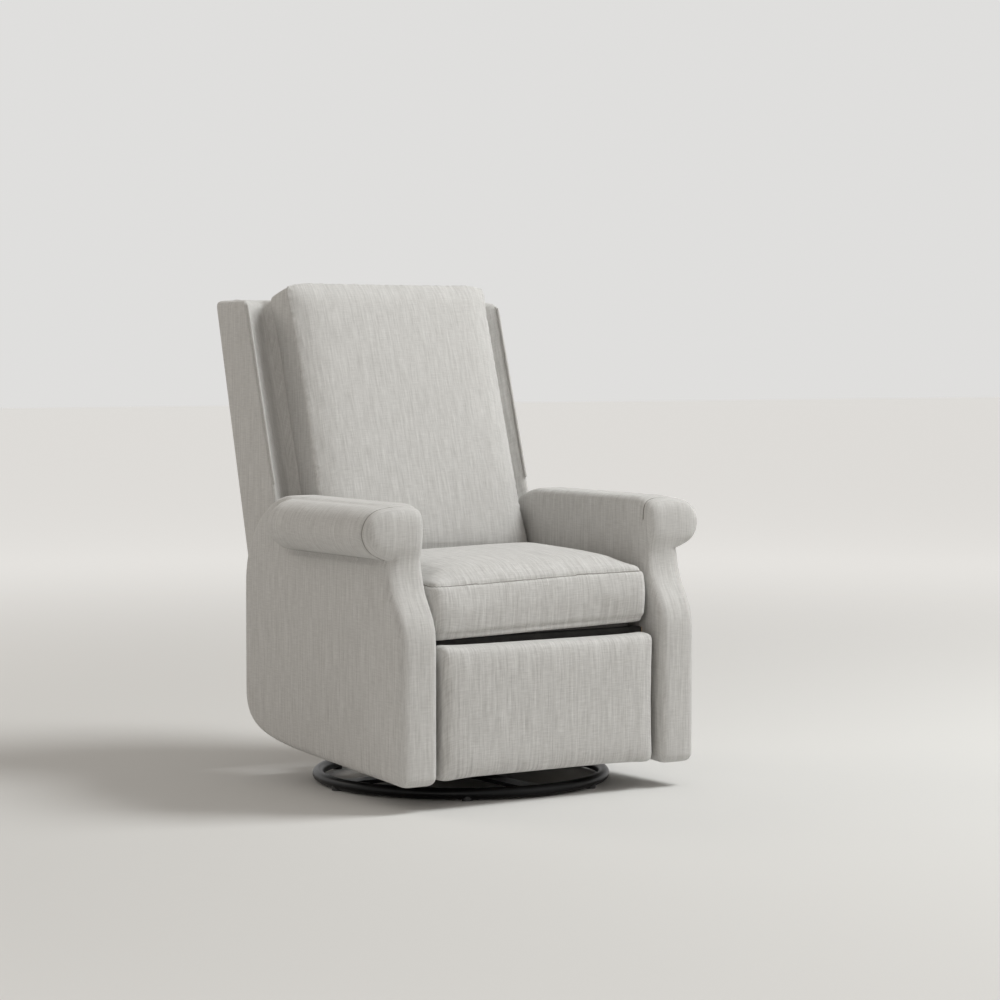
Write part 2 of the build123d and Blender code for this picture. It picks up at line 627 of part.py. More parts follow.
with BuildPart() as back_cushion:
    for rise, half_width in ((-CUSHION_BELOW, CUSHION_HALF_BOTTOM), (BACK_TOP, CUSHION_HALF_TOP)):
        with BuildSketch(back_section(rise)):
            with Locations((0, CUSHION_DEPTH / 2)):
                RectangleRounded(2 * half_width, CUSHION_DEPTH, CUSHION_ROUNDING)
    loft()
    fillet(back_cushion.faces().sort_by(Axis.Z)[-1].edges(), CUSHION_ROUNDING / 2)
save(back_cushion.part, "back_cushion")

with BuildPart() as back_frame:
    with BuildSketch(back_face(FRAME_FRONT)):
        with Locations((0, FRAME_TOP)):
            Rectangle(2 * FRAME_HALF_WIDTH, FRAME_TOP - FRAME_LOW, align=(Align.CENTER, Align.MAX))
        window = (FRAME_TOP - FRAME_LOW - 3 * FRAME_RAIL) / 2
        for window_top in (FRAME_TOP - FRAME_RAIL, FRAME_TOP - 2 * FRAME_RAIL - window):
            with Locations((0, window_top)):
                Rectangle(
                    2 * (FRAME_HALF_WIDTH - FRAME_RAIL),
                    window,
                    align=(Align.CENTER, Align.MAX),
                    mode=Mode.SUBTRACT,
                )
        with Locations((HINGE_PLATE_X, -FRAME_BELOW), (FRAME_RAIL - HINGE_PLATE_X, -FRAME_BELOW)):
            Rectangle(FRAME_RAIL, FRAME_BELOW + FRAME_RAIL, align=(Align.MAX, Align.MIN))
    extrude(amount=-FRAME_DEPTH)
save(back_frame.part, "back_frame")

with BuildPart() as back_straps:
    with BuildSketch(back_face(FRAME_FRONT)):
        with Locations((0, (FRAME_TOP + FRAME_LOW) / 2)):
            with GridLocations(1, 2 * STRAP_WIDTH - STRAP_THICKNESS, 1, STRAP_COUNT):
                Rectangle(2 * FRAME_HALF_WIDTH - FRAME_RAIL, STRAP_WIDTH)
    extrude(amount=STRAP_THICKNESS)
save(back_straps.part, "back_straps")

with BuildPart() as wing:
    with BuildSketch(back_section(-CUSHION_BELOW)) as wing_section:
        with BuildLine():
            Polyline(
                (WING_INSIDE, WING_FRONT + WING_SLOPE),
                (WING_OUTSIDE, WING_FRONT),
                (WING_OUTSIDE, SKIN_FRONT),
                (WING_INSIDE, SKIN_FRONT),
                close=True,
            )
        make_face()
        chamfer(wing_section.vertices().sort_by(Axis.Y)[:1], WING_ROUNDING / 3)
    extrude(amount=BACK_REACH)
    with BuildSketch(back_section(FRAME_LOW)):
        with Locations((FRAME_HALF_WIDTH, WING_FRONT + WING_SLOPE)):
            Rectangle(
                WING_INSIDE - FRAME_HALF_WIDTH,
                SKIN_FRONT - WING_FRONT - WING_SLOPE,
                align=(Align.MIN, Align.MIN),
            )
    extrude(amount=BACK_REACH)
    split(bisect_by=Plane.XY.offset(WING_TOP_Z), keep=Keep.BOTTOM)
    wing_crest = wing.faces().sort_by(Axis.Z)[-1].edges().filter_by(Axis.Y).sort_by(Axis.X)
    fillet(wing_crest[-1:], WING_ROUNDING)
    add(arm_room.part, mode=Mode.SUBTRACT)
both_sides(wing.part, "wing")

with BuildPart() as back_skin:
    with BuildSketch(back_section(-CUSHION_BELOW)):
        with Locations((0, SKIN_FRONT)):
            Rectangle(2 * WING_OUTSIDE, BACK_SKIN, align=(Align.CENTER, Align.MIN))
    extrude(amount=BACK_REACH)
    split(bisect_by=Plane.XY.offset(WING_TOP_Z), keep=Keep.BOTTOM)
    split(bisect_by=Plane.XY.offset(SKIN_BOTTOM_Z), keep=Keep.TOP)
    add(arm_room.part, mode=Mode.SUBTRACT)
    fillet(back_skin.faces().sort_by(Axis.Y)[-1].edges(), WING_ROUNDING / 2)
    apron_low = TAIL_TOP - APRON_OVERLAP
    with BuildSketch(Plane.XZ.offset(-TAIL_FRONT - TAIL_THICKNESS - APRON_GAP)):
        with Locations((0, apron_low)):
            Rectangle(
                2 * WING_INSIDE,
                SKIN_BOTTOM_Z + APRON_THICKNESS - apron_low,
                align=(Align.CENTER, Align.MIN),
            )
    extrude(amount=-APRON_THICKNESS)
save(back_skin.part, "back_skin")

# Padded crest that closes the top of the back between the wings
with BuildPart() as back_crest:
    with BuildSketch(back_section(FRAME_TOP)):
        with Locations((0, FRAME_FRONT)):
            Rectangle(2 * FRAME_HALF_WIDTH, SKIN_FRONT - FRAME_FRONT, align=(Align.CENTER, Align.MIN))
    extrude(amount=BACK_REACH)
    split(bisect_by=Plane.XY.offset(WING_TOP_Z), keep=Keep.BOTTOM)
save(back_crest.part, "back_crest")

# Spacer blocks that hold the outer back off the frame
with BuildPart() as back_blocks:
    with BuildSketch(back_face(FRAME_BACK)):
        with Locations((0, (FRAME_TOP + FRAME_LOW) / 2)):
            with GridLocations(2 * FRAME_HALF_WIDTH - FRAME_RAIL, FRAME_TOP - 2 * FRAME_RAIL, 2, 2):
                Rectangle(FRAME_RAIL, FRAME_RAIL)
    extrude(amount=-(SKIN_FRONT - FRAME_BACK))
save(back_blocks.part, "back_blocks")

# Recline hinges: steel straps on the back's legs, turning on pins in the side rails
LEG_RISE = (FRAME_RAIL - FRAME_BELOW) / 2
LEG_DEPTH = FRAME_BACK
HINGE_TOP = (
    BACK_FOOT_Y + LEG_RISE * LEAN_SIN + LEG_DEPTH * LEAN_COS,
    BACK_FOOT_Z + LEG_RISE * LEAN_COS - LEG_DEPTH * LEAN_SIN,
)
BACK_PIVOT = (BACK_PIVOT_Y, BACK_PIVOT_Z)
both_sides(
    flat_link(
        HINGE_PLATE_X,
        BACK_PIVOT,
        HINGE_TOP,
        HINGE_PLATE_WIDTH / 2,
        STEEL,
        ((BACK_PIVOT, HINGE_PIN_RADIUS + RUNNING_CLEARANCE),),
    ),
    "recline_hinge",
)
pins_both_sides(
    [(HINGE_PLATE_X - LOOSE_CLEARANCE, BACK_PIVOT_Y, BACK_PIVOT_Z, STEEL * 3 + LOOSE_CLEARANCE, HINGE_PIN_RADIUS)],
    "recline_pins",
)

# Leg rest: padded panel on a board, carried by a double parallelogram on each side
with BuildPart() as rest_pad:
    with BuildSketch(Plane.XZ.offset(-REST_PAD_BACK)):
        with Locations((0, REST_BOTTOM)):
            Rectangle(2 * REST_HALF_WIDTH, REST_TOP - REST_BOTTOM, align=(Align.CENTER, Align.MIN))
    extrude(amount=REST_PAD_BACK - REST_FRONT)
    fillet(rest_pad.edges().filter_by(Axis.Y), REST_ROUNDING)
    fillet(rest_pad.faces().sort_by(Axis.Y)[0].edges(), REST_ROUNDING)
save(rest_pad.part, "leg_rest_pad")

with BuildPart() as rest_board:
    with BuildSketch(Plane.XZ.offset(-REST_BOARD_BACK)):
        with Locations((0, REST_BOTTOM + REST_BOARD_INSET)):
            RectangleRounded(
                2 * (REST_HALF_WIDTH - REST_BOARD_INSET),
                REST_TOP - REST_BOTTOM - 2 * REST_BOARD_INSET,
                REST_ROUNDING,
                align=(Align.CENTER, Align.MIN),
            )
    extrude(amount=REST_BOARD_BACK - REST_PAD_BACK)
save(rest_board.part, "leg_rest_board")


def swung(origin, length, angle):
    """The (y, z) point at a length and an angle in degrees from another point."""
    return (origin[0] + length * cos(radians(angle)), origin[1] + length * sin(radians(angle)))


def moved(origin, dy, dz):
    """The (y, z) point at an offset from another point."""
    return (origin[0] + dy, origin[1] + dz)


REST_PIVOT = (REST_PIVOT_Y, REST_PIVOT_Z)
REAR_PIVOT = moved(REST_PIVOT, REAR_PIVOT_SPAN, REAR_PIVOT_RISE)
SCISSOR = swung(REST_PIVOT, SCISSOR_AT, LONG_LINK_ANGLE)
LONG_END = swung(REST_PIVOT, LONG_LINK, LONG_LINK_ANGLE)
REAR_END = moved(SCISSOR, REAR_PIVOT_SPAN, REAR_PIVOT_RISE)
UPPER_REST_PIN = moved(SCISSOR, -REACH_FORWARD, REACH_UP)
LOWER_REST_PIN = moved(LONG_END, -REACH_FORWARD, REACH_UP)

# The links lie side by side in layers, counted inwards from the side plate
PLATE_X = SIDE_RAIL_X - STEEL
REAR_LINK_X = PLATE_X - LINK_PITCH - PLATE_GAP
UPPER_LINK_X = REAR_LINK_X - LINK_PITCH
LONG_LINK_X = UPPER_LINK_X - LINK_PITCH
LOWER_LINK_X = LONG_LINK_X - LINK_PITCH
BRACKET_X = LOWER_LINK_X - LINK_PITCH
RIVET_BORE = RIVET_RADIUS + RUNNING_CLEARANCE
SHAFT_BORE = SHAFT_RADIUS + RUNNING_CLEARANCE

with BuildPart() as side_plate:
    with BuildSketch(Plane.YZ.offset(PLATE_X)):
        with Locations(moved(REST_PIVOT, REAR_PIVOT_SPAN / 2, REAR_PIVOT_RISE / 2)):
            RectangleRounded(REAR_PIVOT_SPAN + 5 * LINK_HALF_WIDTH, 5 * LINK_HALF_WIDTH, LINK_HALF_WIDTH)
        with Locations(REST_PIVOT):
            Circle(SHAFT_BORE, mode=Mode.SUBTRACT)
        with Locations(REAR_PIVOT):
            Circle(RIVET_BORE, mode=Mode.SUBTRACT)
    extrude(amount=STEEL)
both_sides(side_plate.part, "leg_rest_side_plate")

both_sides(
    flat_link(
        LONG_LINK_X,
        REST_PIVOT,
        LONG_END,
        LINK_HALF_WIDTH,
        LINK_THICKNESS,
        ((REST_PIVOT, SHAFT_BORE), (SCISSOR, RIVET_BORE), (LONG_END, RIVET_BORE)),
    ),
    "long_link",
)
both_sides(
    flat_link(
        REAR_LINK_X,
        REAR_PIVOT,
        REAR_END,
        LINK_HALF_WIDTH,
        LINK_THICKNESS,
        ((REAR_PIVOT, RIVET_BORE), (REAR_END, RIVET_BORE)),
    ),
    "rear_link",
)
both_sides(
    flat_link(
        LOWER_LINK_X,
        LONG_END,
        LOWER_REST_PIN,
        LINK_HALF_WIDTH,
        LINK_THICKNESS,
        ((LONG_END, RIVET_BORE), (LOWER_REST_PIN, RIVET_BORE)),
    ),
    "lower_link",
)

# The upper link is cranked at the scissor pivot
with BuildPart() as upper_link:
    add(flat_link(UPPER_LINK_X, SCISSOR, UPPER_REST_PIN, LINK_HALF_WIDTH, LINK_THICKNESS, ()))
    add(flat_link(UPPER_LINK_X, SCISSOR, REAR_END, LINK_HALF_WIDTH, LINK_THICKNESS, ()))
    with BuildSketch(Plane.YZ.offset(UPPER_LINK_X)):
        with Locations(SCISSOR, UPPER_REST_PIN, REAR_END):
            Circle(RIVET_BORE)
    extrude(amount=LINK_THICKNESS, mode=Mode.SUBTRACT)
both_sides(upper_link.part, "upper_link")

with BuildPart() as rest_bracket:
    with BuildSketch(Plane.YZ.offset(BRACKET_X)):
        with BuildLine():
            Polyline(
                (REST_BOARD_BACK, UPPER_REST_PIN[1] + 2 * LINK_HALF_WIDTH),
                (REST_BOARD_BACK, LOWER_REST_PIN[1] - 2 * LINK_HALF_WIDTH),
                moved(LOWER_REST_PIN, 0, -LINK_HALF_WIDTH),
                moved(LOWER_REST_PIN, LINK_HALF_WIDTH, 0),
                moved(UPPER_REST_PIN, LINK_HALF_WIDTH, 0),
                moved(UPPER_REST_PIN, 0, LINK_HALF_WIDTH),
                close=True,
            )
        make_face()
        with Locations(UPPER_REST_PIN, LOWER_REST_PIN):
            Circle(RIVET_BORE, mode=Mode.SUBTRACT)
    extrude(amount=LINK_THICKNESS)
    with BuildSketch(Plane.XZ.offset(-REST_BOARD_BACK)):
        with Locations((BRACKET_X + LINK_THICKNESS, (UPPER_REST_PIN[1] + LOWER_REST_PIN[1]) / 2)):
            Rectangle(
                4 * LINK_HALF_WIDTH,
                UPPER_REST_PIN[1] - LOWER_REST_PIN[1] + 4 * LINK_HALF_WIDTH,
                align=(Align.MAX, Align.CENTER),
            )
    extrude(amount=-LINK_THICKNESS)
    mirror(about=Plane.YZ)
save(rest_bracket.part, "leg_rest_brackets")

with BuildPart() as rest_shaft:
    with BuildSketch(Plane.YZ.offset(LOOSE_CLEARANCE - SIDE_RAIL_X)):
        with Locations(REST_PIVOT):
            Circle(SHAFT_RADIUS)
    extrude(amount=2 * (SIDE_RAIL_X - LOOSE_CLEARANCE))
save(rest_shaft.part, "leg_rest_shaft")


def rivet(place, x_from, x_to):
    """A plain rivet along X at a (y, z) point."""
    with BuildPart() as plain_rivet:
        with BuildSketch(Plane.YZ.offset(x_from)):
            with Locations(place):
                Circle(RIVET_RADIUS)
        extrude(amount=x_to - x_from)
    return plain_rivet.part


def rivets_both_sides(places, name):
    """Write one group of rivets, each (point, from x, to x) given at +X and mirrored to -X."""
    with BuildPart() as group:
        for place in places:
            add(rivet(*place))
        mirror(about=Plane.YZ)
    save(group.part, name)


rivets_both_sides([(REAR_PIVOT, REAR_LINK_X, SIDE_RAIL_X)], "rear_link_rivets")
rivets_both_sides(
    [
        (SCISSOR, LONG_LINK_X, UPPER_LINK_X + LINK_THICKNESS),
        (LONG_END, LOWER_LINK_X, LONG_LINK_X + LINK_THICKNESS),
    ],
    "long_link_rivets",
)
rivets_both_sides([(REAR_END, UPPER_LINK_X, REAR_LINK_X + LINK_THICKNESS)], "upper_link_rivets")
rivets_both_sides(
    [
        (UPPER_REST_PIN, BRACKET_X, UPPER_LINK_X + LINK_THICKNESS),
        (LOWER_REST_PIN, BRACKET_X, LOWER_LINK_X + LINK_THICKNESS),
    ],
    "leg_rest_rivets",
)
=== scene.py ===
"""Looks of a swivel glider recliner: upholstery, timber, steel and a plain studio."""
import json
import logging
import math
from collections.abc import Callable
from dataclasses import dataclass
from enum import Enum

import bmesh
import bpy
import numpy as np
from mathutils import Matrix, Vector
from mathutils.bvhtree import BVHTree
from mathutils.kdtree import KDTree


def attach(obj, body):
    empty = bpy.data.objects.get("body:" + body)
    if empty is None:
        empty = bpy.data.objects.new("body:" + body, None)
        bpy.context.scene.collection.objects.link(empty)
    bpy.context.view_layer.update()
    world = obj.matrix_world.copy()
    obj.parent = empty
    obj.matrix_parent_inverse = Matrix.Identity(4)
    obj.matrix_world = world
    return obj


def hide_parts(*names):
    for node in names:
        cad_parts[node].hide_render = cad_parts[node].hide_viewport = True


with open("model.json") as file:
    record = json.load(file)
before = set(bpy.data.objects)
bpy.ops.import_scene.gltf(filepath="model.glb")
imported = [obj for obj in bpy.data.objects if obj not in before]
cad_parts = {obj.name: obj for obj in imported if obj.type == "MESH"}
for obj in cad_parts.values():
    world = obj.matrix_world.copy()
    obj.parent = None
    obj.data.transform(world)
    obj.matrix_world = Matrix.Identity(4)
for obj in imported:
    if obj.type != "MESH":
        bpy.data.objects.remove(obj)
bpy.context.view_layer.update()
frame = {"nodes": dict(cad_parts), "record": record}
LOG = logging.getLogger("glider")

Point2 = tuple[float, float]
Point3 = tuple[float, float, float]
Colour = tuple[float, float, float, float]
Object = bpy.types.Object
Material = bpy.types.Material
Node = bpy.types.Node
Socket = bpy.types.NodeSocket
Inputs = dict[str | int, object]
RowTest = Callable[[np.ndarray], np.ndarray]
Shell = Callable[[float, float], tuple[Point3, Point3]]

ARM_CENTRE: Point2 = (0.112, 0.419)  # (y, z) of the arms' round backs
LINE_STEP = 0.004
SEAM_STEP = 0.002
GATHERS = ((1.0, 430.0, 0.0), (0.6, 277.0, 1.3))  # height, rate and phase beside a seam
CLOTH_FRAMES = 20
CLOTH_SETTINGS = {
    "use_pressure": True,
    "uniform_pressure_force": 4.0,
    "quality": 4,
    "tension_stiffness": 12.0,
    "compression_stiffness": 6.0,
    "bending_stiffness": 0.4,
}
EVEN_PASSES = 60


class Side(Enum):
    """Which side of the chair a piece is on, as seen from the front."""

    LEFT = -1
    RIGHT = 1

    @property
    def label(self) -> str:
        """The side's word in the names of pieces."""
        return self.name.lower()


class Weave(Enum):
    """How the slubs lie: down x-wide faces, wrapped over an arm, or up a boxed cushion."""

    ACROSS_X = "x"
    WRAPPED = "wrapped"
    BOXED = "boxed"


def configure(thing: object, **settings: object) -> None:
    """Set several options of a node, modifier or other data block."""
    for key, value in settings.items():
        setattr(thing, key, value)


@dataclass(frozen=True)
class Wiring:
    """A node tree, with short ways to add nodes to it."""

    tree: bpy.types.NodeTree

    def add(self, kind: str, inputs: Inputs | None = None, **settings: str) -> Node:
        """Add a node.

        Args:
            kind: The node's type.
            inputs: A value or a socket for each named or numbered input.
            settings: Values of the node's own options.

        Returns:
            The new node.
        """
        node = self.tree.nodes.new(kind)
        configure(node, **settings)
        self.feed(node, inputs or {})
        return node

    def feed(self, node: Node, inputs: Inputs) -> None:
        """Set inputs of a node to values, or link them to sockets."""
        for key, value in inputs.items():
            if isinstance(value, Socket):
                self.tree.links.new(value, node.inputs[key])
            else:
                node.inputs[key].default_value = value

    def split(self, output: str) -> list[Socket]:
        """The x, y and z of one of the piece's own coordinates."""
        coords = self.add("ShaderNodeTexCoord")
        return list(self.add("ShaderNodeSeparateXYZ", {0: coords.outputs[output]}).outputs)

    def math(self, operation: str, *values: Socket | float) -> Socket:
        """Add a maths node on sockets or numbers and return its output."""
        inputs = dict(enumerate(values))
        return self.add("ShaderNodeMath", inputs, operation=operation).outputs[0]

    def mix(self, factor: Socket, first: Socket, second: Socket) -> Socket:
        """Mix two number sockets by a factor socket and return the output."""
        inputs = {0: factor, 2: first, 3: second}
        return self.add("ShaderNodeMix", inputs, data_type="FLOAT").outputs[0]

    def ramp(self, factor: Socket, half: float, low: Colour, high: Colour) -> Socket:
        """Run between two colours round a noise's middle and return the colour socket."""
        node = self.add("ShaderNodeValToRGB", {0: factor})
        first, second = node.color_ramp.elements
        first.position, second.position = 0.5 - half, 0.5 + half
        first.color, second.color = low, high
        return node.outputs[0]

    def bump(self, height: Socket, strength: float, distance: float) -> Socket:
        """Add a bump from a height and return its normal socket."""
        inputs = {"Strength": strength, "Distance": distance, "Height": height}
        return self.add("ShaderNodeBump", inputs).outputs[0]


def empty_material(name: str) -> tuple[Material, Wiring, Node]:
    """Make a node material and return it with its wiring and its shader node."""
    mat = bpy.data.materials.new(name)
    mat.use_nodes = True
    return mat, Wiring(mat.node_tree), mat.node_tree.nodes["Principled BSDF"]


@dataclass(frozen=True)
class UpholsteryFabric:
    """Pale linen-look cloth with fine slubs that run down the chair.

    Each layer gives shares of the slubs' count and stretch, and the noise's detail.
    """

    pale: Colour = (0.76, 0.755, 0.735, 1.0)
    shade: Colour = (0.41, 0.40, 0.385, 1.0)
    lively_range: float = 0.26
    calm_range: float = 0.33
    slub_per_metre: float = 470.0
    slub_stretch: float = 0.05
    slub_layer: Point3 = (1.0, 1.0, 3.0)
    broad_layer: Point3 = (0.4, 0.9, 2.0)
    weft_layer: Point3 = (0.9, 1.6, 2.0)
    weft_strength: float = 0.36
    thread_per_metre: float = 780.0
    thread_scale: float = 10.0
    wrapped_turn: float = 0.72
    boxed_turn: float = 0.7
    roughness: float = 0.92
    sheen: float = 0.25

    def material(self, name: str, weave: Weave) -> Material:
        """Make the cloth for one way of laying it.

        Args:
            name: Name of the new material.
            weave: Which way the slubs lie.

        Returns:
            The new material.
        """
        mat, wires, bsdf = empty_material(name)
        across, along = self.lay(wires, weave)
        slub = self.noise(wires, across, along, self.slub_layer)
        broad = self.noise(wires, across, along, self.broad_layer)
        cross = self.noise(wires, along, across, self.weft_layer)
        warp = wires.math("MULTIPLY_ADD", wires.math("ADD", slub, broad), 0.5, 0.0)
        weft = wires.math("MULTIPLY_ADD", cross, self.weft_strength, -self.weft_strength / 2)
        tone = wires.math("ADD", warp, weft)
        half = self.lively_range if weave is Weave.ACROSS_X else self.calm_range
        plain = wires.math("MULTIPLY", self.threads(wires, across), self.threads(wires, along))
        height = wires.math("ADD", plain, slub)
        wires.feed(bsdf, {
            "Base Color": wires.ramp(tone, half, self.shade, self.pale),
            "Normal": wires.bump(height, strength=0.35, distance=0.0012),
            "Roughness": self.roughness,
            "Sheen Weight": self.sheen,
            "Sheen Roughness": 0.6,
            "Specular IOR Level": 0.2,
        })
        return mat

    def lay(self, wires: Wiring, weave: Weave) -> tuple[Socket, Socket]:
        """Pick the coordinates across and along the slubs.

        Args:
            wires: The material's wiring.
            weave: Which way the slubs lie.

        Returns:
            The sockets across and along the slubs.
        """
        x, y, z = wires.split("Object")
        wide = (x, wires.math("ADD", y, z))
        if weave is Weave.ACROSS_X:
            return wide
        deep = (y, wires.math("ADD", x, z))
        facing_x, facing_y, _ = wires.split("Normal")
        if weave is Weave.WRAPPED:
            facing, least, usual, turned_to = facing_y, self.wrapped_turn, deep, wide
        else:
            facing, least, usual, turned_to = facing_x, self.boxed_turn, wide, deep
        past = wires.math("GREATER_THAN", wires.math("ABSOLUTE", facing), least)
        across, along = (wires.mix(past, a, b) for a, b in zip(usual, turned_to))
        return across, along

    def noise(self, wires: Wiring, across: Socket, along: Socket, layer: Point3) -> Socket:
        """Add a noise drawn out along one way of the cloth.

        Args:
            wires: The material's wiring.
            across: The coordinate across the slubs.
            along: The coordinate along the slubs.
            layer: Shares of count and stretch, and detail.

        Returns:
            The noise socket.
        """
        count, drawn, detail = layer
        per_metre = self.slub_per_metre * count
        vector = wires.add("ShaderNodeCombineXYZ", {
            0: wires.math("MULTIPLY", across, per_metre),
            1: wires.math("MULTIPLY", along, per_metre * (self.slub_stretch * drawn)),
        })
        return wires.add("ShaderNodeTexNoise", {
            "Scale": 1.0,
            "Detail": detail,
            "Roughness": 0.62,
            "Vector": vector.outputs[0],
        }).outputs["Fac"]

    def threads(self, wires: Wiring, across: Socket) -> Socket:
        """Add the fine ribs of single threads and return their socket."""
        scaled = wires.math("MULTIPLY", across, self.thread_per_metre / self.thread_scale)
        vector = wires.add("ShaderNodeCombineXYZ", {0: scaled})
        return wires.add("ShaderNodeTexWave", {
            "Scale": self.thread_scale,
            "Distortion": 0.6,
            "Vector": vector.outputs[0],
        }).outputs["Fac"]


@dataclass(frozen=True)
class GrainedFinish:
    """A plain finish: a base colour broken up by noise, with its own gloss and grain."""

    name: str
    dark: Colour
    light: Colour
    metallic: float
    roughness: float
    scale: Point3 = (40.0, 40.0, 40.0)
    bump: float = 0.05
    specular: float = 0.5
    detail: float = 6.0

    def material(self) -> Material:
        """Make the material of this finish."""
        mat, wires, bsdf = empty_material(self.name)
        coords = wires.add("ShaderNodeTexCoord")
        inputs = {"Scale": self.scale, "Vector": coords.outputs["Object"]}
        mapping = wires.add("ShaderNodeMapping", inputs)
        inputs = {"Scale": 1.0, "Detail": self.detail, "Vector": mapping.outputs[0]}
        grain = wires.add("ShaderNodeTexNoise", inputs).outputs["Fac"]
        wires.feed(bsdf, {
            "Base Color": wires.ramp(grain, 0.15, self.dark, self.light),
            "Normal": wires.bump(grain, self.bump, distance=0.001),
            "Metallic": self.metallic,
            "Roughness": self.roughness,
            "Specular IOR Level": self.specular,
        })
        return mat


RIGID_FINISHES = {
    "base_black": GrainedFinish(
        "black_powder_coat", (0.003, 0.003, 0.003, 1), (0.005, 0.005, 0.006, 1),
        metallic=0.0, roughness=0.34, scale=(900, 900, 900), bump=0.06, specular=0.2,
    ),
    "mechanism_steel": GrainedFinish(
        "coated_steel", (0.010, 0.010, 0.011, 1), (0.020, 0.020, 0.022, 1),
        metallic=0.1, roughness=0.45, scale=(300, 300, 300), bump=0.05, specular=0.25,
    ),
    "bright_steel": GrainedFinish(
        "bright_zinc", (0.42, 0.42, 0.43, 1), (0.58, 0.58, 0.59, 1),
        metallic=1.0, roughness=0.30, scale=(120, 120, 120), bump=0.03,
    ),
    "frame_wood": GrainedFinish(
        "frame_timber", (0.40, 0.26, 0.14, 1), (0.60, 0.43, 0.26, 1),
        metallic=0.0, roughness=0.65, scale=(9, 9, 140), bump=0.15,
    ),
    "webbing": GrainedFinish(
        "dark_webbing", (0.055, 0.052, 0.05, 1), (0.11, 0.105, 0.10, 1),
        metallic=0.0, roughness=0.95, scale=(700, 120, 700), bump=0.35,
    ),
    "foot_plastic": GrainedFinish(
        "foot_nylon", (0.012, 0.012, 0.012, 1), (0.025, 0.025, 0.025, 1),
        metallic=0.0, roughness=0.5, scale=(400, 400, 400), bump=0.05,
    ),
}
SEAM_THREAD = GrainedFinish(
    "seam_thread", (0.29, 0.28, 0.262, 1), (0.35, 0.34, 0.32, 1), metallic=0.0, roughness=0.9
)
# Near-black cloth: on the seat rail sleeve its dark colour is painted shade in the gap under the
# seat cushion; the frame linings use it too.
SHADE_AND_LINING_CLOTH = GrainedFinish(
    "shade_and_lining_cloth", (0.030, 0.029, 0.028, 1), (0.050, 0.048, 0.046, 1),
    metallic=0.0, roughness=0.95,
)


def new_object(name: str, data: bpy.types.ID) -> Object:
    """Link a mesh, curve, lamp or camera into the scene as a new object."""
    obj = bpy.data.objects.new(name, data)
    bpy.context.scene.collection.objects.link(obj)
    return obj


def from_bmesh(name: str, shape: bmesh.types.BMesh) -> Object:
    """Turn a finished bmesh into an object with outward faces."""
    bmesh.ops.recalc_face_normals(shape, faces=shape.faces)
    mesh = bpy.data.meshes.new(name)
    shape.to_mesh(mesh)
    shape.free()
    return new_object(name, mesh)


def bezier(a: Point2, b: Point2, c: Point2, d: Point2, steps: int) -> list[Point2]:
    """Points along a cubic curve, without its last point."""
    ts = np.arange(steps) / steps
    pts = [(1 - t) ** 3 * np.array(a) + 3 * (1 - t) ** 2 * t * np.array(b)
           + 3 * (1 - t) * t**2 * np.array(c) + t**3 * np.array(d) for t in ts]
    return [tuple(map(float, p)) for p in pts]


def arc(centre: Point2, radius: float, start: float, end: float, steps: int) -> list[Point2]:
    """Points along a circular arc in degrees, both ends included."""
    angles = np.radians(np.linspace(start, end, steps))
    return [(centre[0] + radius * math.cos(a), centre[1] + radius * math.sin(a)) for a in angles]


def oblong(front: float, back: float, low: float, high: float) -> list[Point2]:
    """The corners of an upright oblong as (y, z) points."""
    return [(front, low), (back, low), (back, high), (front, high)]


def loft(name: str, near: list[Point3], far: list[Point3]) -> Object:
    """A closed solid between two outlines with as many corners.

    Args:
        name: Name of the new object.
        near: Corner points of one end, in order.
        far: Corner points of the other end, in the same order.

    Returns:
        The new object.
    """
    shape = bmesh.new()
    one, two = ([shape.verts.new(p) for p in outline] for outline in (near, far))
    shape.faces.new(one)
    shape.faces.new(list(reversed(two)))
    for i in range(len(one)):
        j = (i + 1) % len(one)
        shape.faces.new((one[i], two[i], two[j], one[j]))
    return from_bmesh(name, shape)


def prism(name: str, outline: list[Point3], sweep: Point3) -> Object:
    """A closed solid from a flat outline swept along a vector."""
    return loft(name, outline, [Vector(p) + Vector(sweep) for p in outline])


def slab(name: str, side_view: list[Point2], left: float, right: float) -> Object:
    """A closed solid from its (y, z) side view, between two places across the chair."""
    return prism(name, [(left, y, z) for y, z in side_view], (right - left, 0, 0))


def boxed(name: str, across: int, tall: int, shell: Shell) -> Object:
    """A closed solid of two matching grids, joined round their rims.

    Args:
        name: Name of the new object.
        across: Cells along the grids' rows.
        tall: Number of rows of cells.
        shell: Gives a point of each grid for shares of the way along and up them.

    Returns:
        The new object.
    """
    shape = bmesh.new()
    ones, twos = [], []
    for j in range(tall + 1):
        for i in range(across + 1):
            one, two = shell(i / across, j / tall)
            ones.append(shape.verts.new(one))
            twos.append(shape.verts.new(two))
    width = across + 1
    for grid in (ones, twos):
        for j in range(tall):
            for a in range(j * width, j * width + across):
                shape.faces.new((grid[a], grid[a + 1], grid[a + width + 1], grid[a + width]))
    rim = list(range(width)) + [j * width + across for j in range(1, tall + 1)]
    rim += [tall * width + i for i in range(across - 1, -1, -1)]
    rim += [j * width for j in range(tall - 1, 0, -1)]
    for a, b in zip(rim, rim[1:] + rim[:1]):
        shape.faces.new((ones[a], ones[b], twos[b], twos[a]))
    return from_bmesh(name, shape)


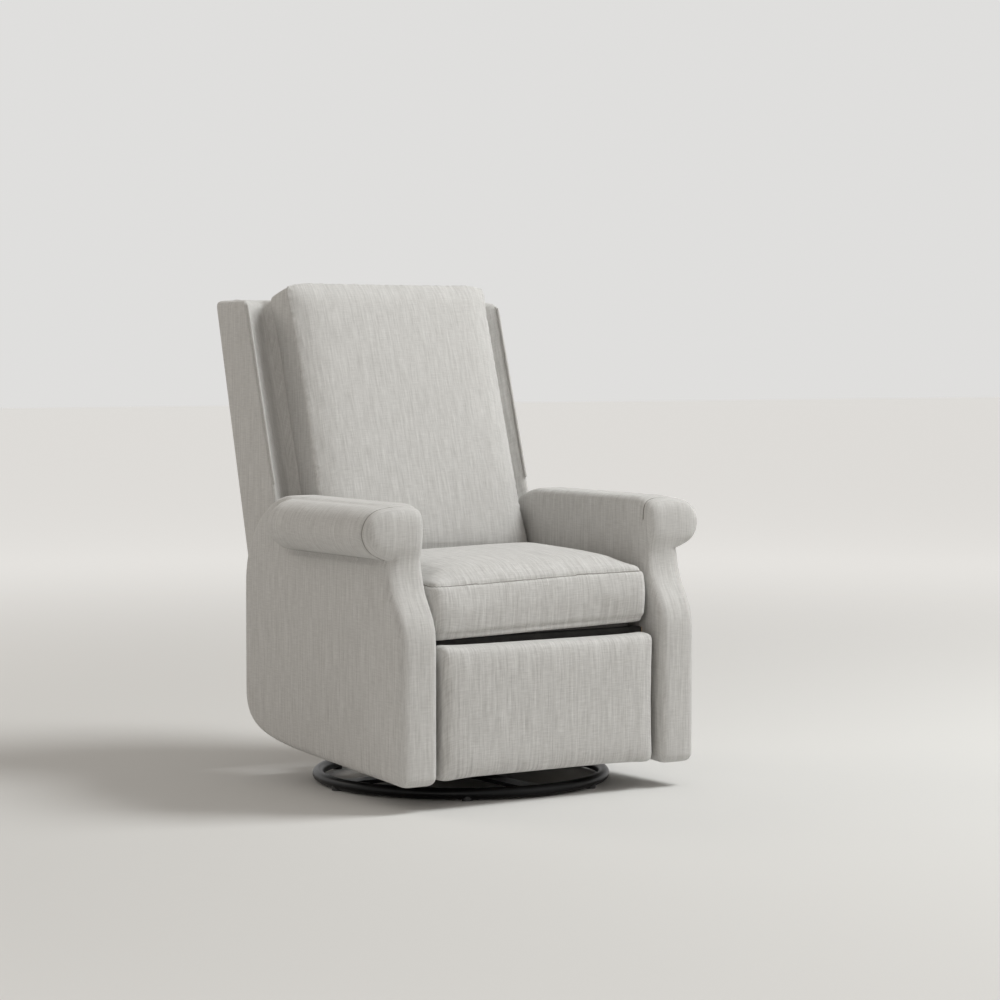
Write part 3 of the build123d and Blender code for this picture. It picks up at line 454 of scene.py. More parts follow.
def turned(name: str, profile: list[Point2], x: float, z: float, spokes: int = 48) -> Object:
    """A closed solid turned about a line along y.

    Args:
        name: Name of the new object.
        profile: (y, radius) points; the first and last radius are zero.
        x: The line's place across the chair.
        z: The line's height.
        spokes: Corners of each ring.

    Returns:
        The new object.
    """
    shape = bmesh.new()
    rings = []
    for y, radius in profile:
        angles = [2 * math.pi * k / spokes for k in range(spokes)] if radius else [0.0]
        rings.append([
            shape.verts.new((x + radius * math.cos(a), y, z + radius * math.sin(a)))
            for a in angles
        ])
    for low, high in zip(rings, rings[1:]):
        for k in range(spokes):
            j = (k + 1) % spokes
            ring = [low[k % len(low)], high[k % len(high)], high[j % len(high)], low[j % len(low)]]
            shape.faces.new(list(dict.fromkeys(ring)))
    return from_bmesh(name, shape)


def apply_modifiers(obj: Object) -> None:
    """Replace an object's mesh by its modified one and drop the modifiers."""
    depsgraph = bpy.context.evaluated_depsgraph_get()
    mesh = bpy.data.meshes.new_from_object(obj.evaluated_get(depsgraph))
    old = obj.data
    obj.modifiers.clear()
    obj.data = mesh
    bpy.data.meshes.remove(old)


def round_edges(obj: Object, width: float) -> None:
    """Bevel a solid's sharp edges to a round of a width in metres."""
    bevel = obj.modifiers.new("rounding", "BEVEL")
    configure(bevel, width=width, segments=6, use_clamp_overlap=True)
    configure(bevel, limit_method="ANGLE", angle_limit=math.radians(35))
    apply_modifiers(obj)


def subtract(obj: Object, cutter: Object) -> None:
    """Cut one solid out of another and remove the cutter."""
    cut = obj.modifiers.new("cut", "BOOLEAN")
    configure(cut, object=cutter, operation="DIFFERENCE", solver="EXACT")
    apply_modifiers(obj)
    bpy.data.objects.remove(cutter)


def clear_arm(obj: Object, left: float, right: float, radius: float) -> None:
    """Cut room for an arm's round back out of a piece, between two places across."""
    subtract(obj, slab("arm_clearance", arc(ARM_CENTRE, radius, 0, 357.5, 144), left, right))


def join(first: Object, *others: Object) -> Object:
    """Merge the meshes of several objects into the first one."""
    shape = bmesh.new()
    for obj in (first, *others):
        shape.from_mesh(obj.data)
    shape.to_mesh(first.data)
    shape.free()
    for obj in others:
        bpy.data.objects.remove(obj)
    return first


def soften(obj: Object, voxel: float, smooth: int, rounding: float = 0.0) -> None:
    """Round a solid's edges where asked, and remesh it finely and evenly.

    Args:
        obj: The solid.
        voxel: Size of the new faces in metres.
        smooth: Smoothing passes after the remesh.
        rounding: Edge rounding in metres.
    """
    if rounding:
        round_edges(obj, rounding)
    configure(obj.modifiers.new("even", "REMESH"), mode="VOXEL", voxel_size=voxel)
    configure(obj.modifiers.new("smooth", "SMOOTH"), factor=0.5, iterations=smooth)
    apply_modifiers(obj)


def subdivide(obj: Object) -> None:
    """Apply one smooth subdivision."""
    configure(obj.modifiers.new("finer", "SUBSURF"), levels=1, render_levels=1)
    apply_modifiers(obj)


def rows_of(obj: Object, what: str = "co") -> np.ndarray:
    """The positions ("co") or normals ("normal") of a mesh's vertices as rows."""
    flat = np.empty(len(obj.data.vertices) * 3)
    obj.data.vertices.foreach_get(what, flat)
    return flat.reshape(-1, 3)


def place(obj: Object, rows: np.ndarray) -> None:
    """Write vertex positions back to a mesh."""
    obj.data.vertices.foreach_set("co", rows.reshape(-1))
    obj.data.update()


def put_on(side: Side, *pieces: Object) -> None:
    """Mirror pieces that were made on the right where they belong on the left."""
    if side is Side.RIGHT:
        return
    for piece in pieces:
        rows = rows_of(piece)
        rows[:, 0] *= -1
        place(piece, rows)
        piece.data.flip_normals()


def evened(obj: Object, values: np.ndarray, passes: int) -> np.ndarray:
    """Average rows of values over each vertex and its neighbours.

    Args:
        obj: The mesh that the values belong to.
        values: One row for each vertex.
        passes: How many times to average.

    Returns:
        The averaged rows.
    """
    ends = np.empty(len(obj.data.edges) * 2, dtype=np.int32)
    obj.data.edges.foreach_get("vertices", ends)
    one, two = ends.reshape(-1, 2).T
    count = np.maximum(np.bincount(ends, minlength=len(values)), 1)[:, None]
    for _ in range(passes):
        total = np.zeros_like(values)
        np.add.at(total, one, values[two])
        np.add.at(total, two, values[one])
        values = 0.5 * values + 0.5 * total / count
    return values


def inflate(obj: Object, cap: float, crease: float, held: RowTest | None = None) -> None:
    """Blow a closed cover up with the cloth solver and apply the result.

    Args:
        obj: The evenly meshed cover.
        cap: Most that a point may move, in metres.
        crease: Share of the solver's small creases that stays in the taut cover.
        held: Test of rest positions; True where the cover is held still.
    """
    before = rows_of(obj)
    cloth = obj.modifiers.new("filling", "CLOTH")
    configure(cloth.settings, **CLOTH_SETTINGS)
    cloth.settings.effector_weights.gravity = 0.0
    configure(cloth.point_cache, frame_start=1, frame_end=CLOTH_FRAMES)
    for step in range(1, CLOTH_FRAMES + 1):
        bpy.context.scene.frame_set(step)
    depsgraph = bpy.context.evaluated_depsgraph_get()
    move = rows_of(obj.evaluated_get(depsgraph)) - before
    obj.modifiers.clear()
    bpy.context.scene.frame_set(1)
    length = np.linalg.norm(move, axis=1, keepdims=True)
    move *= np.minimum(1.0, cap / np.maximum(length, 1e-9))
    if held is not None:
        move[held(before)] = 0.0
    place(obj, before + (1 - crease) * evened(obj, move, EVEN_PASSES) + crease * move)


def surface_tree(obj: Object) -> BVHTree:
    """A search tree of a mesh's faces."""
    corners = [v.co for v in obj.data.vertices]
    return BVHTree.FromPolygons(corners, [p.vertices for p in obj.data.polygons])


def dense(path: list[Point3], step: float) -> list[Vector]:
    """Points at even steps along a polyline."""
    out = []
    for a, b in zip(path, path[1:]):
        a, b = Vector(a), Vector(b)
        count = max(1, int((b - a).length / step))
        out += [a.lerp(b, i / count) for i in range(count)]
    return out + [Vector(path[-1])]


def surface_line(obj: Object, path: list[Point3], lift: float = 0.0) -> list[Point3]:
    """Drop a polyline onto a mesh.

    Args:
        obj: The mesh.
        path: Points on or near its surface.
        lift: Height of the line over the surface in metres.

    Returns:
        The points of the line.
    """
    tree = surface_tree(obj)
    line = []
    for point in dense(path, LINE_STEP):
        spot, normal, _, _ = tree.find_nearest(point)
        line.append(tuple(spot + normal * lift))
    return line


def groove(
    obj: Object, path: list[Point3], depth: float, width: float, pucker: float = 0.0
) -> None:
    """Press a sewn line into a soft mesh, with small gathers beside it where asked.

    Args:
        obj: The soft mesh.
        path: Points that the seam follows, on or near the surface.
        depth: Depth of the seam in metres; negative raises a welt.
        width: Half-width of the dip in metres.
        pucker: Height of the gathers in metres.
    """
    line = dense(surface_line(obj, path), SEAM_STEP)
    tree = KDTree(len(line))
    for i, p in enumerate(line):
        tree.insert(p, i)
    tree.balance()
    rows = rows_of(obj)
    reach = width * (6.0 if pucker else 3.0)
    move = np.zeros(len(rows))
    for i, row in enumerate(rows):
        _, index, gap = tree.find(row)
        if gap < reach:
            move[i] -= depth * math.exp(-((gap / width) ** 2))
            if pucker:
                along = index * SEAM_STEP
                wave = sum(size * math.sin(along * rate + phase) for size, rate, phase in GATHERS)
                fall = math.exp(-((gap - width) / (2.2 * width)) ** 2)
                move[i] += pucker * wave * fall
    place(obj, rows + rows_of(obj, "normal") * move[:, None])


def thread(name: str, path: list[Point3], radius: float) -> Object:
    """A thin round welt or thread along a path, as a mesh."""
    curve = bpy.data.curves.new(name, "CURVE")
    configure(curve, dimensions="3D", bevel_depth=radius, bevel_resolution=2)
    spline = curve.splines.new("POLY")
    spline.points.add(len(path) - 1)
    for point, place_at in zip(spline.points, path):
        point.co = (*place_at, 1.0)
    holder = new_object(name + "_path", curve)
    depsgraph = bpy.context.evaluated_depsgraph_get()
    mesh = bpy.data.meshes.new_from_object(holder.evaluated_get(depsgraph))
    bpy.data.objects.remove(holder)
    return new_object(name, mesh)


def seat_on(
    obj: Object, body: str, material: Material,
    nodes: tuple[str, ...] = (),
) -> None:
    """Give a finished piece its material and body, and hide the CAD nodes that it stands for.

    Args:
        obj: The finished piece.
        body: The body that it moves with.
        material: Its material.
        nodes: CAD nodes that it stands for.
    """
    obj.data.materials.clear()
    obj.data.materials.append(material)
    obj.data.shade_smooth()
    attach(obj, body)
    if nodes:
        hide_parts(*nodes)
    LOG.info("%s rides on %s", obj.name, body)


@dataclass
class Arm:
    """One upholstered arm: a panel with a swept-in front, and a rolled top with a domed cap."""

    side: Side
    inside: float = 0.2772
    outside: float = 0.3655
    front: float = -0.358
    bottom: float = 0.050
    shoulder_z: float = 0.335
    neck: Point2 = (-0.303, 0.500)
    neck_swing: float = 0.022
    arc_radius: float = 0.201
    crest_rounding: float = 0.034
    crest_drop: float = 0.036
    tail_z: float = 0.190
    tail: Point2 = (0.090, 0.077)
    tail_pull: float = 2.6
    tail_lift: float = 0.014
    roll_x: float = 0.366
    roll_z: float = 0.5605
    roll_radius: float = 0.053
    roll_front: float = -0.313
    roll_back: float = 0.152
    roll_end_degrees: float = -112
    roll_run: float = 0.090
    roll_root: float = 0.12
    roll_taper: float = 0.75
    root_lift: float = 0.011
    root_tuck: float = 0.025
    inner_rounding: float = 0.044
    top_rounding: float = 0.024
    rounding: float = 0.019
    cap_seam: float = -0.283
    cap_reach: float = 0.03
    cap_fade: float = 0.02
    cap_low: float = 0.47
    cap_rise: float = 0.03
    swell_height: float = 0.004
    swell_middle: Point2 = (-0.02, 0.29)
    swell_reach: Point2 = (0.34, 0.24)
    swell_skin: float = 0.012
    swell_fade: float = 0.01
    under_out: float = 0.012
    under_drop: float = 0.003
    under_stop: float = 0.07
    under_ends: tuple[Point2, ...] = ((0.03, 0.008), (0.004, 0.03))
    voxel: float = 0.0045

    def panel_outline(self) -> list[Point2]:
        """The panel's side view as (y, z) points."""
        neck_y, neck_z = self.neck
        mid = (self.shoulder_z + neck_z) / 2
        swing = neck_z + self.neck_swing
        back = ARM_CENTRE[0] + self.arc_radius
        crest = ARM_CENTRE[1] + self.arc_radius
        low = self.tail[1]
        turn = self.crest_rounding
        pts = [(self.front, self.bottom)]
        shoulder = (self.front, self.shoulder_z)
        pts += bezier(shoulder, (self.front, mid), (neck_y, mid), self.neck, 14)
        roll = (self.roll_front, self.roll_z)
        pts += bezier(self.neck, (neck_y, swing), (self.roll_front, swing), roll, 8)
        pts += arc((self.roll_front + turn, crest - self.crest_drop), turn, 180, 90, 8)
        pts += arc(ARM_CENTRE, self.arc_radius, 90, 0, 28)
        pts += bezier((back, self.tail_z), (back, (self.tail_z + 3 * low) / 4),
                      (self.tail_pull * self.tail[0], low + self.tail_lift), self.tail, 14)
        return pts + [self.tail]

    def top_section(self) -> list[Point2]:
        """The rolled top's front view as (x, z) points, over the top and under the roll."""
        crest = self.roll_z + self.roll_radius
        turn = self.inner_rounding
        low = self.neck[1] + self.root_lift
        pts = [(self.inside, low)] + arc((self.inside + turn, crest - turn), turn, 180, 90, 12)
        pts += arc((self.roll_x, self.roll_z), self.roll_radius, 90, self.roll_end_degrees, 34)
        return pts + [(self.outside - self.root_tuck, low)]

    def tail_profile(self) -> list[Point2]:
        """The (y, radius) profile of the roll's rounded rear end."""
        start = self.roll_back - self.roll_run
        root = start - self.roll_root
        pts = [(root, 0.0), (root, self.roll_radius), (start, self.roll_radius)]
        pts += [(start + self.roll_run * math.sin(t),
                 self.roll_radius * math.cos(t) ** self.roll_taper)
                for t in np.linspace(0.1, math.pi / 2 - 0.02, 14)]
        return pts + [(self.roll_back, 0.0)]

    def build(self, cloth: Material, seam: Material) -> None:
        """Build the cover with its sewn lines and seat it on the chair.

        Args:
            cloth: Material of the cover and of the seam under the roll.
            seam: Material of the thread behind the cap.
        """
        name = f"{self.side.label}_arm"
        panel = slab(name, self.panel_outline(), self.inside, self.outside)
        round_edges(panel, self.rounding)
        length = ARM_CENTRE[0] - self.roll_front
        section = [(x, self.roll_front, z) for x, z in self.top_section()]
        top = prism("arm_top", section, (0, length, 0))
        round_edges(top, self.top_rounding)
        tail = turned("arm_tail", self.tail_profile(), self.roll_x, self.roll_z)
        cover = join(panel, top, tail)
        soften(cover, self.voxel, smooth=7)
        self.dome_cap(cover)
        rows = rows_of(cover)
        place(cover, rows + rows_of(cover, "normal") * self.swell(rows)[:, None])
        lines = (self.cap_line(), self.under_line())
        for line in lines:
            groove(cover, line, depth=0.0045, width=0.0055)
        stitches = [
            thread(f"{name}_seam_{i}", surface_line(cover, line, lift=0.0003), radius=0.0011)
            for i, line in enumerate(lines)
        ]
        put_on(self.side, cover, *stitches)
        seat_on(cover, "chair", cloth, (f"{name}_cover",))
        for stitch, finish in zip(stitches, (seam, cloth)):
            seat_on(stitch, "chair", finish)

    def dome_cap(self, cover: Object) -> None:
        """Smooth the roll's front end into a dome."""
        rows = rows_of(cover)
        ahead = np.clip((self.cap_seam + self.cap_reach - rows[:, 1]) / self.cap_fade, 0, 1)
        cap = ahead * np.clip((rows[:, 2] - self.cap_low) / self.cap_rise, 0, 1)
        place(cover, rows + cap[:, None] * (evened(cover, rows, passes=36) - rows))

    def swell(self, rows: np.ndarray) -> np.ndarray:
        """How far the wadding lifts each point of the panel's outer face."""
        y = (rows[:, 1] - self.swell_middle[0]) / self.swell_reach[0]
        z = (rows[:, 2] - self.swell_middle[1]) / self.swell_reach[1]
        lift = np.clip(1 - y**4, 0, 1) * np.clip(1 - z**4, 0, 1)
        outer = np.clip((rows[:, 0] - self.outside + self.swell_skin) / self.swell_fade, 0, 1)
        return self.swell_height * lift * (outer * (rows[:, 2] < self.neck[1]))

    def cap_line(self) -> list[Point3]:
        """The seam round the roll behind its front cap."""
        return [(x, self.cap_seam, z) for x, z in self.top_section()[1:-1]]

    def under_line(self) -> list[Point3]:
        """The seam where the roll meets the panel below it."""
        x, z = self.top_section()[-2]
        x += self.under_out
        run = np.linspace(self.cap_seam, self.roll_back - self.under_stop, 30)
        ends = [(x, self.roll_back - short, z + up) for short, up in self.under_ends]
        return [(x, y, z - self.under_drop) for y in run] + ends


@dataclass(frozen=True)
class BackLean:
    """The leaning frame of the back: rise up the lean and depth behind the cushion's face."""

    foot: Point2 = (0.117, 0.497)
    lean: float = math.radians(17.0)

    def at(self, x: float, rise: float, depth: float) -> Point3:
        """The place of a point of the back."""
        y = self.foot[0] + rise * math.sin(self.lean) + depth * math.cos(self.lean)
        z = self.foot[1] + rise * math.cos(self.lean) - depth * math.sin(self.lean)
        return (x, y, z)

    def outline(self, x: float, corners: list[Point2]) -> list[Point3]:
        """The places of (rise, depth) corners at one place across the chair."""
        return [self.at(x, rise, depth) for rise, depth in corners]

    def rise_at(self, z: float, depth: float) -> float:
        """The rise at which a depth of the back reaches a height."""
        return (z - self.foot[1] + depth * math.sin(self.lean)) / math.cos(self.lean)


@dataclass
class SeatCushion:
    """The boxed seat cushion, crowned on top."""

    half: float = 0.270
    front: float = -0.322
    back: float = 0.092
    bottom: float = 0.3450
    edge: float = 0.463
    crown: float = 0.476
    crown_middle: float = 1.15
    crown_fall: float = 0.85
    back_lift: float = 0.012
    tilt: float = 0.007
    rounding: float = 0.016
    fullness: float = 0.011
    boxing_depth: float = 0.010
    boxing_fade: float = 0.008
    held_edge: float = 0.006
    top_seam: Point2 = (-0.006, 0.0032)  # height from the edge, and depth
    low_seam: Point2 = (0.013, 0.0028)  # height from the bottom, and depth
    voxel: float = 0.006

    def shell(self, u: float, v: float) -> tuple[Point3, Point3]:
        """The points of the top and the bottom at shares of the width and the depth."""
        x = self.half * (2 * u - 1)
        y = self.front + (self.back - self.front) * v
        fall = 1 - abs(2 * v - self.crown_middle) ** 3 * self.crown_fall
        rise = (1 - abs(2 * u - 1) ** 3) * fall
        level = self.edge + (self.crown - self.edge) * max(0.0, rise) + self.back_lift * v
        return (x, y, level), (x, y, self.bottom)

    def build(self, cloth: Material, seam: Material) -> None:
        """Build, fill and seat the cushion.

        Args:
            cloth: Material of the cover and of its lower seam.
            seam: Material of the upper seam's thread.
        """
        cushion = boxed("seat_cushion_cover", across=24, tall=18, shell=self.shell)
        soften(cushion, self.voxel, 3, self.rounding)
        rows = rows_of(cushion)
        rows[:, 1] -= self.bulge(rows, self.front + self.boxing_depth - rows[:, 1])
        beside = np.abs(rows[:, 0]) - self.half + self.boxing_depth
        rows[:, 0] += np.sign(rows[:, 0]) * self.bulge(rows, beside) / 2
        place(cushion, rows)
        held = self.bottom + self.held_edge
        inflate(cushion, cap=0.022, crease=0.12, held=lambda rest: rest[:, 2] < held)
        subdivide(cushion)
        rows = rows_of(cushion)
        rows[:, 2] += self.tilt * rows[:, 0] / self.half
        place(cushion, rows)
        seams = ((self.edge, self.top_seam, seam), (self.bottom, self.low_seam, cloth))
        for i, (level, (up, depth), finish) in enumerate(seams):
            line = self.seam(cushion, level + up)
            groove(cushion, line, depth, width=0.004, pucker=0.0003)
            path = surface_line(cushion, line, lift=0.0002)
            seat_on(thread(f"seat_seam_{i}", path, radius=0.001), "chair", finish)
        seat_on(cushion, "chair", cloth, ("seat_cushion",))

    def bulge(self, rows: np.ndarray, near: np.ndarray) -> np.ndarray:
        """How far the boxing swells outwards, given how near each point is to it."""
        middle, reach = (self.bottom + self.edge) / 2, (self.edge - self.bottom) / 2
        share = np.clip(1 - ((rows[:, 2] - middle) / reach) ** 2, 0, 1)
        return self.fullness * share * np.clip(near / self.boxing_fade, 0, 1)

    def seam(self, cushion: Object, z: float) -> list[Point3]:
        """Points of a seam round the cushion's front and sides.

        Args:
            cushion: The filled cushion.
            z: The seam's height at the middle of the front.

        Returns:
            Points on the surface, from one rear corner round the front to the other.
        """
        tree = surface_tree(cushion)
        line = []
        for turn in np.radians(np.linspace(-205, 25, 160)):
            way = Vector((math.cos(turn), math.sin(turn), 0))
            height = z + self.tilt * way.x + self.back_lift * max(0.0, way.y)
            start = Vector((0, (self.front + self.back) / 2, height))
            hit = tree.ray_cast(start + way, -way)[0]
            if hit is not None:
                line.append(tuple(hit))
        return line


@dataclass
class BackCushion:
    """The tall boxed back cushion with gathered side seams."""

    lean: BackLean = BackLean()
    low: float = -0.036
    high: float = 0.622
    droop: float = 0.014
    rounding: float = 0.006
    half_low: float = 0.272
    half_high: float = 0.264
    half_rear: float = 0.265
    face_depth: float = 0.014
    depth: float = 0.098
    crown: float = 0.012
    welt_depth: float = 0.012
    welt_out: float = 0.006
    voxel: float = 0.006

    def shell(self, u: float, v: float) -> tuple[Point3, Point3]:
        """The points of the face and the rear at shares of the width and the height."""
        half = self.half_low + (self.half_high - self.half_low) * v
        off = 2 * u - 1
        rise = self.low + (self.high - self.droop * abs(off) ** 7 - self.low) * v
        swell = self.crown * (1 - abs(off) ** 3) * (1 - abs(2 * v - 1) ** 4)
        face = self.lean.at(half * off, rise, self.face_depth - swell)
        return face, self.lean.at(self.half_rear * off, rise, self.depth)

    def build(self, cloth: Material) -> None:
        """Build, fill and seat the cushion."""
        cushion = boxed("back_cushion_cover", across=22, tall=26, shell=self.shell)
        soften(cushion, self.voxel, 3, self.rounding)
        inflate(cushion, cap=0.013, crease=0.12)
        subdivide(cushion)
        groove(cushion, self.welt_line(), depth=-0.0020, width=0.0035, pucker=0.0005)
        seat_on(cushion, "back", cloth, ("back_cushion",))

    def welt_line(self) -> list[Point3]:
        """The seam between the face and the boxing, up both sides and over the top."""
        low, high = self.half_low + self.welt_out, self.half_high + self.welt_out
        top = self.high + self.welt_out
        corners = ((-low, self.low), (-high, top), (high, top), (low, self.low))
        return [self.lean.at(x, rise, self.welt_depth) for x, rise in corners]


@dataclass
class Wing:
    """One wing of the back, over the arm."""

    side: Side
    lean: BackLean = BackLean()
    behind: float = 0.2250
    beside: float = 0.2535
    tuck: float = 0.0930
    inside: float = 0.2680
    outside: float = 0.3325
    front: float = 0.070
    slope: float = 0.050
    rear: float = 0.2160
    flare: float = 0.030
    foot_rise: float = -0.08
    top_z: float = 1.040
    arm_radius: float = 0.196
    gap: float = 0.010
    cut_from: float = 0.20
    cut_to: float = 0.45
    rounding: float = 0.014
    welt_inset: Point2 = (0.0045, 0.0035)
    welt_low: float = 0.640
    welt_drop: float = 0.016
    welt_reach: float = 0.075
    welt_rise: float = 0.0145
    welt_in: float = 0.012
    voxel: float = 0.004

    def build(self, cloth: Material) -> None:
        """Build, round and seat the wing with the welt along its front edge."""
        name = f"{self.side.label}_wing"
        section = [(self.behind, self.tuck), (self.beside, self.tuck),
                   (self.inside, self.front + self.slope), (self.outside, self.front),
                   (self.outside, self.rear), (self.behind, self.rear)]
        low = [self.lean.at(x, self.foot_rise, d + (self.flare if d == self.rear else 0.0))
               for x, d in section]
        high = [self.lean.at(x, self.lean.rise_at(self.top_z, d), d) for x, d in section]
        wing = loft(f"{name}_cover", low, high)
        round_edges(wing, self.rounding)
        clear_arm(wing, self.cut_from, self.cut_to, self.arm_radius + self.gap)
        soften(wing, self.voxel, smooth=5)
        welt = thread(f"{name}_welt", self.welt_path(), radius=0.0028)
        put_on(self.side, wing, welt)
        seat_on(wing, "back", cloth, (name,))
        seat_on(welt, "back", cloth)

    def welt_path(self) -> list[Point3]:
        """The welt's line along the wing's front edge and over its top."""
        x, d = self.outside - self.welt_inset[0], self.front + self.welt_inset[1]
        top = self.top_z - self.welt_drop
        start, end = self.lean.rise_at(self.welt_low, d), self.lean.rise_at(top, d)
        pts = [self.lean.at(x, rise, d) for rise in np.linspace(start, end, 30)]
        for t in np.linspace(0.15, 1.0, 8):
            depth = d + self.welt_reach * t**1.6
            lift = top + self.welt_rise * math.sin(t * math.pi / 2)
            pts.append(self.lean.at(x - self.welt_in * t, self.lean.rise_at(lift, depth), depth))
        return pts


@dataclass
class OuterBack:
    """The upholstered outside back with its apron, its crest and the tail panel under it."""

    lean: BackLean = BackLean()
    half: float = 0.3190
    front: float = 0.193
    rear: float = 0.2155
    flare: float = 0.022
    top_z: float = 1.040
    low_z: float = 0.456
    rounding: float = 0.0110
    arm_clearance: float = 0.206
    cuts: tuple[Point2, ...] = ((-0.37, -0.27), (0.27, 0.37))
    apron_half: float = 0.269
    apron_front: float = 0.3095
    apron_back: float = 0.3300
    apron_low: float = 0.341
    apron_lean: float = 0.006
    apron_lap: float = 0.010
    crest_half: float = 0.250
    crest_front: float = 0.101
    crest_low: float = 0.536
    crest_lap: float = 0.015
    crest_rounding: float = 0.012
    crest_voxel: float = 0.005
    tail_half: float = 0.278
    tail_front: float = 0.2885
    tail_back: float = 0.3035
    tail_low: float = 0.190
    tail_high: float = 0.3445
    tail_rounding: float = 0.006
    voxel: float = 0.004
    padding: float = 0.7

    def build(self, cloth: Material) -> None:
        """Build and seat the outside back, the crest and the tail panel."""
        corners = ((self.front + self.flare, self.low_z), (self.rear + self.flare, self.low_z),
                   (self.rear, self.top_z), (self.front, self.top_z))
        outline = self.lean.outline(-self.half, [(self.lean.rise_at(z, d), d) for d, z in corners])
        skin = prism("outer_back_cover", outline, (2 * self.half, 0, 0))
        round_edges(skin, self.rounding)
        for left, right in self.cuts:
            clear_arm(skin, left, right, self.arm_clearance)
        lap = self.low_z + self.apron_lap
        apron = [(self.apron_front, self.apron_low), (self.apron_back, self.apron_low),
                 (self.apron_back + self.apron_lean, lap), (self.apron_front, lap)]
        join(skin, slab("apron", apron, -self.apron_half, self.apron_half))
        soften(skin, self.voxel, smooth=5)
        seat_on(skin, "back", cloth, ("back_skin",))
        crest = self.crest()
        soften(crest, self.crest_voxel, 4, self.crest_rounding)
        seat_on(crest, "back", cloth, ("back_crest",))
        outline = oblong(self.tail_front, self.tail_back, self.tail_low, self.tail_high)
        tail = slab("tail_cover", outline, -self.tail_half, self.tail_half)
        soften(tail, self.voxel, 3, self.tail_rounding)
        seat_on(tail, "chair", cloth, ("tail_panel",))

    def crest(self) -> Object:
        """The pad between the cushion's top and the outside back."""
        front, rear = self.crest_front, self.front + self.crest_lap
        corners = [(self.crest_low, front), (self.lean.rise_at(self.top_z, front), front),
                   (self.lean.rise_at(self.top_z, rear), rear), (self.crest_low, rear)]
        outline = self.lean.outline(-self.crest_half, corners)
        return prism("crest_cover", outline, (2 * self.crest_half, 0, 0))


@dataclass
class FrameLining:
    """The dark cloth on both edges of the back's frame, seen over the arms when it reclines."""

    lean: BackLean = BackLean()
    x: float = 0.2472
    thickness: float = 0.0024
    low: float = -0.030
    high: float = 0.330
    front: float = 0.1035
    rear: float = 0.1920

    def build(self, cloth: Material) -> None:
        """Build both linings and seat them on the back."""
        corners = [(self.low, self.front), (self.low, self.rear),
                   (self.high, self.rear), (self.high, self.front)]
        outline = self.lean.outline(self.x, corners)
        for side in Side:
            lining = prism(f"{side.label}_frame_lining", outline, (self.thickness, 0, 0))
            put_on(side, lining)
            seat_on(lining, "back", cloth)


@dataclass
class RailCover:
    """The cloth sleeve on the front seat rail; its near-black cloth is painted shade under the
    cushion.
    """

    half: float = 0.2768
    front: float = -0.2875
    back: float = -0.2515
    bottom: float = 0.3155
    top: float = 0.3405
    rounding: float = 0.006

    def build(self, cloth: Material) -> None:
        """Build the sleeve and seat it on the chair."""
        outline = oblong(self.front, self.back, self.bottom, self.top)
        sleeve = slab("seat_rail_sleeve", outline, -self.half, self.half)
        round_edges(sleeve, self.rounding)
        seat_on(sleeve, "chair", cloth)


@dataclass
class LegRest:
    """The padded leg rest panel."""

    half: float = 0.2705
    front: float = -0.348
    back: float = -0.2988
    bottom: float = 0.051
    top: float = 0.337
    rounding: float = 0.015
    held_edge: float = 0.006
    voxel: float = 0.005

    def build(self, cloth: Material) -> None:
        """Build, fill and seat the pad."""
        outline = oblong(self.front, self.back, self.bottom, self.top)
        pad = slab("leg_rest_cover", outline, -self.half, self.half)
        soften(pad, self.voxel, 4, self.rounding)
        held = self.back - self.held_edge
        inflate(pad, cap=0.010, crease=0.10, held=lambda rest: rest[:, 1] > held)
        subdivide(pad)
        seat_on(pad, "leg_rest", cloth, ("leg_rest_pad",))


@dataclass(frozen=True)
class Lamp:
    """A soft square lamp."""

    name: str
    at: Point3
    watts: float
    size: float
    colour: Point3


LAMPS = (
    Lamp("key", (2.5, -1.5, 4.2), 184.0, 1.9, (0.985, 1.0, 1.0)),
    Lamp("fill", (2.6, -4.6, 1.7), 13.0, 2.6, (1.0, 0.995, 0.985)),
    Lamp("rim", (-2.4, 3.4, 3.0), 36.0, 2.4, (1.0, 0.93, 0.85)),
    Lamp("low fill", (-3.4, -3.0, 1.6), 16.0, 2.4, (1.0, 0.93, 0.85)),
)


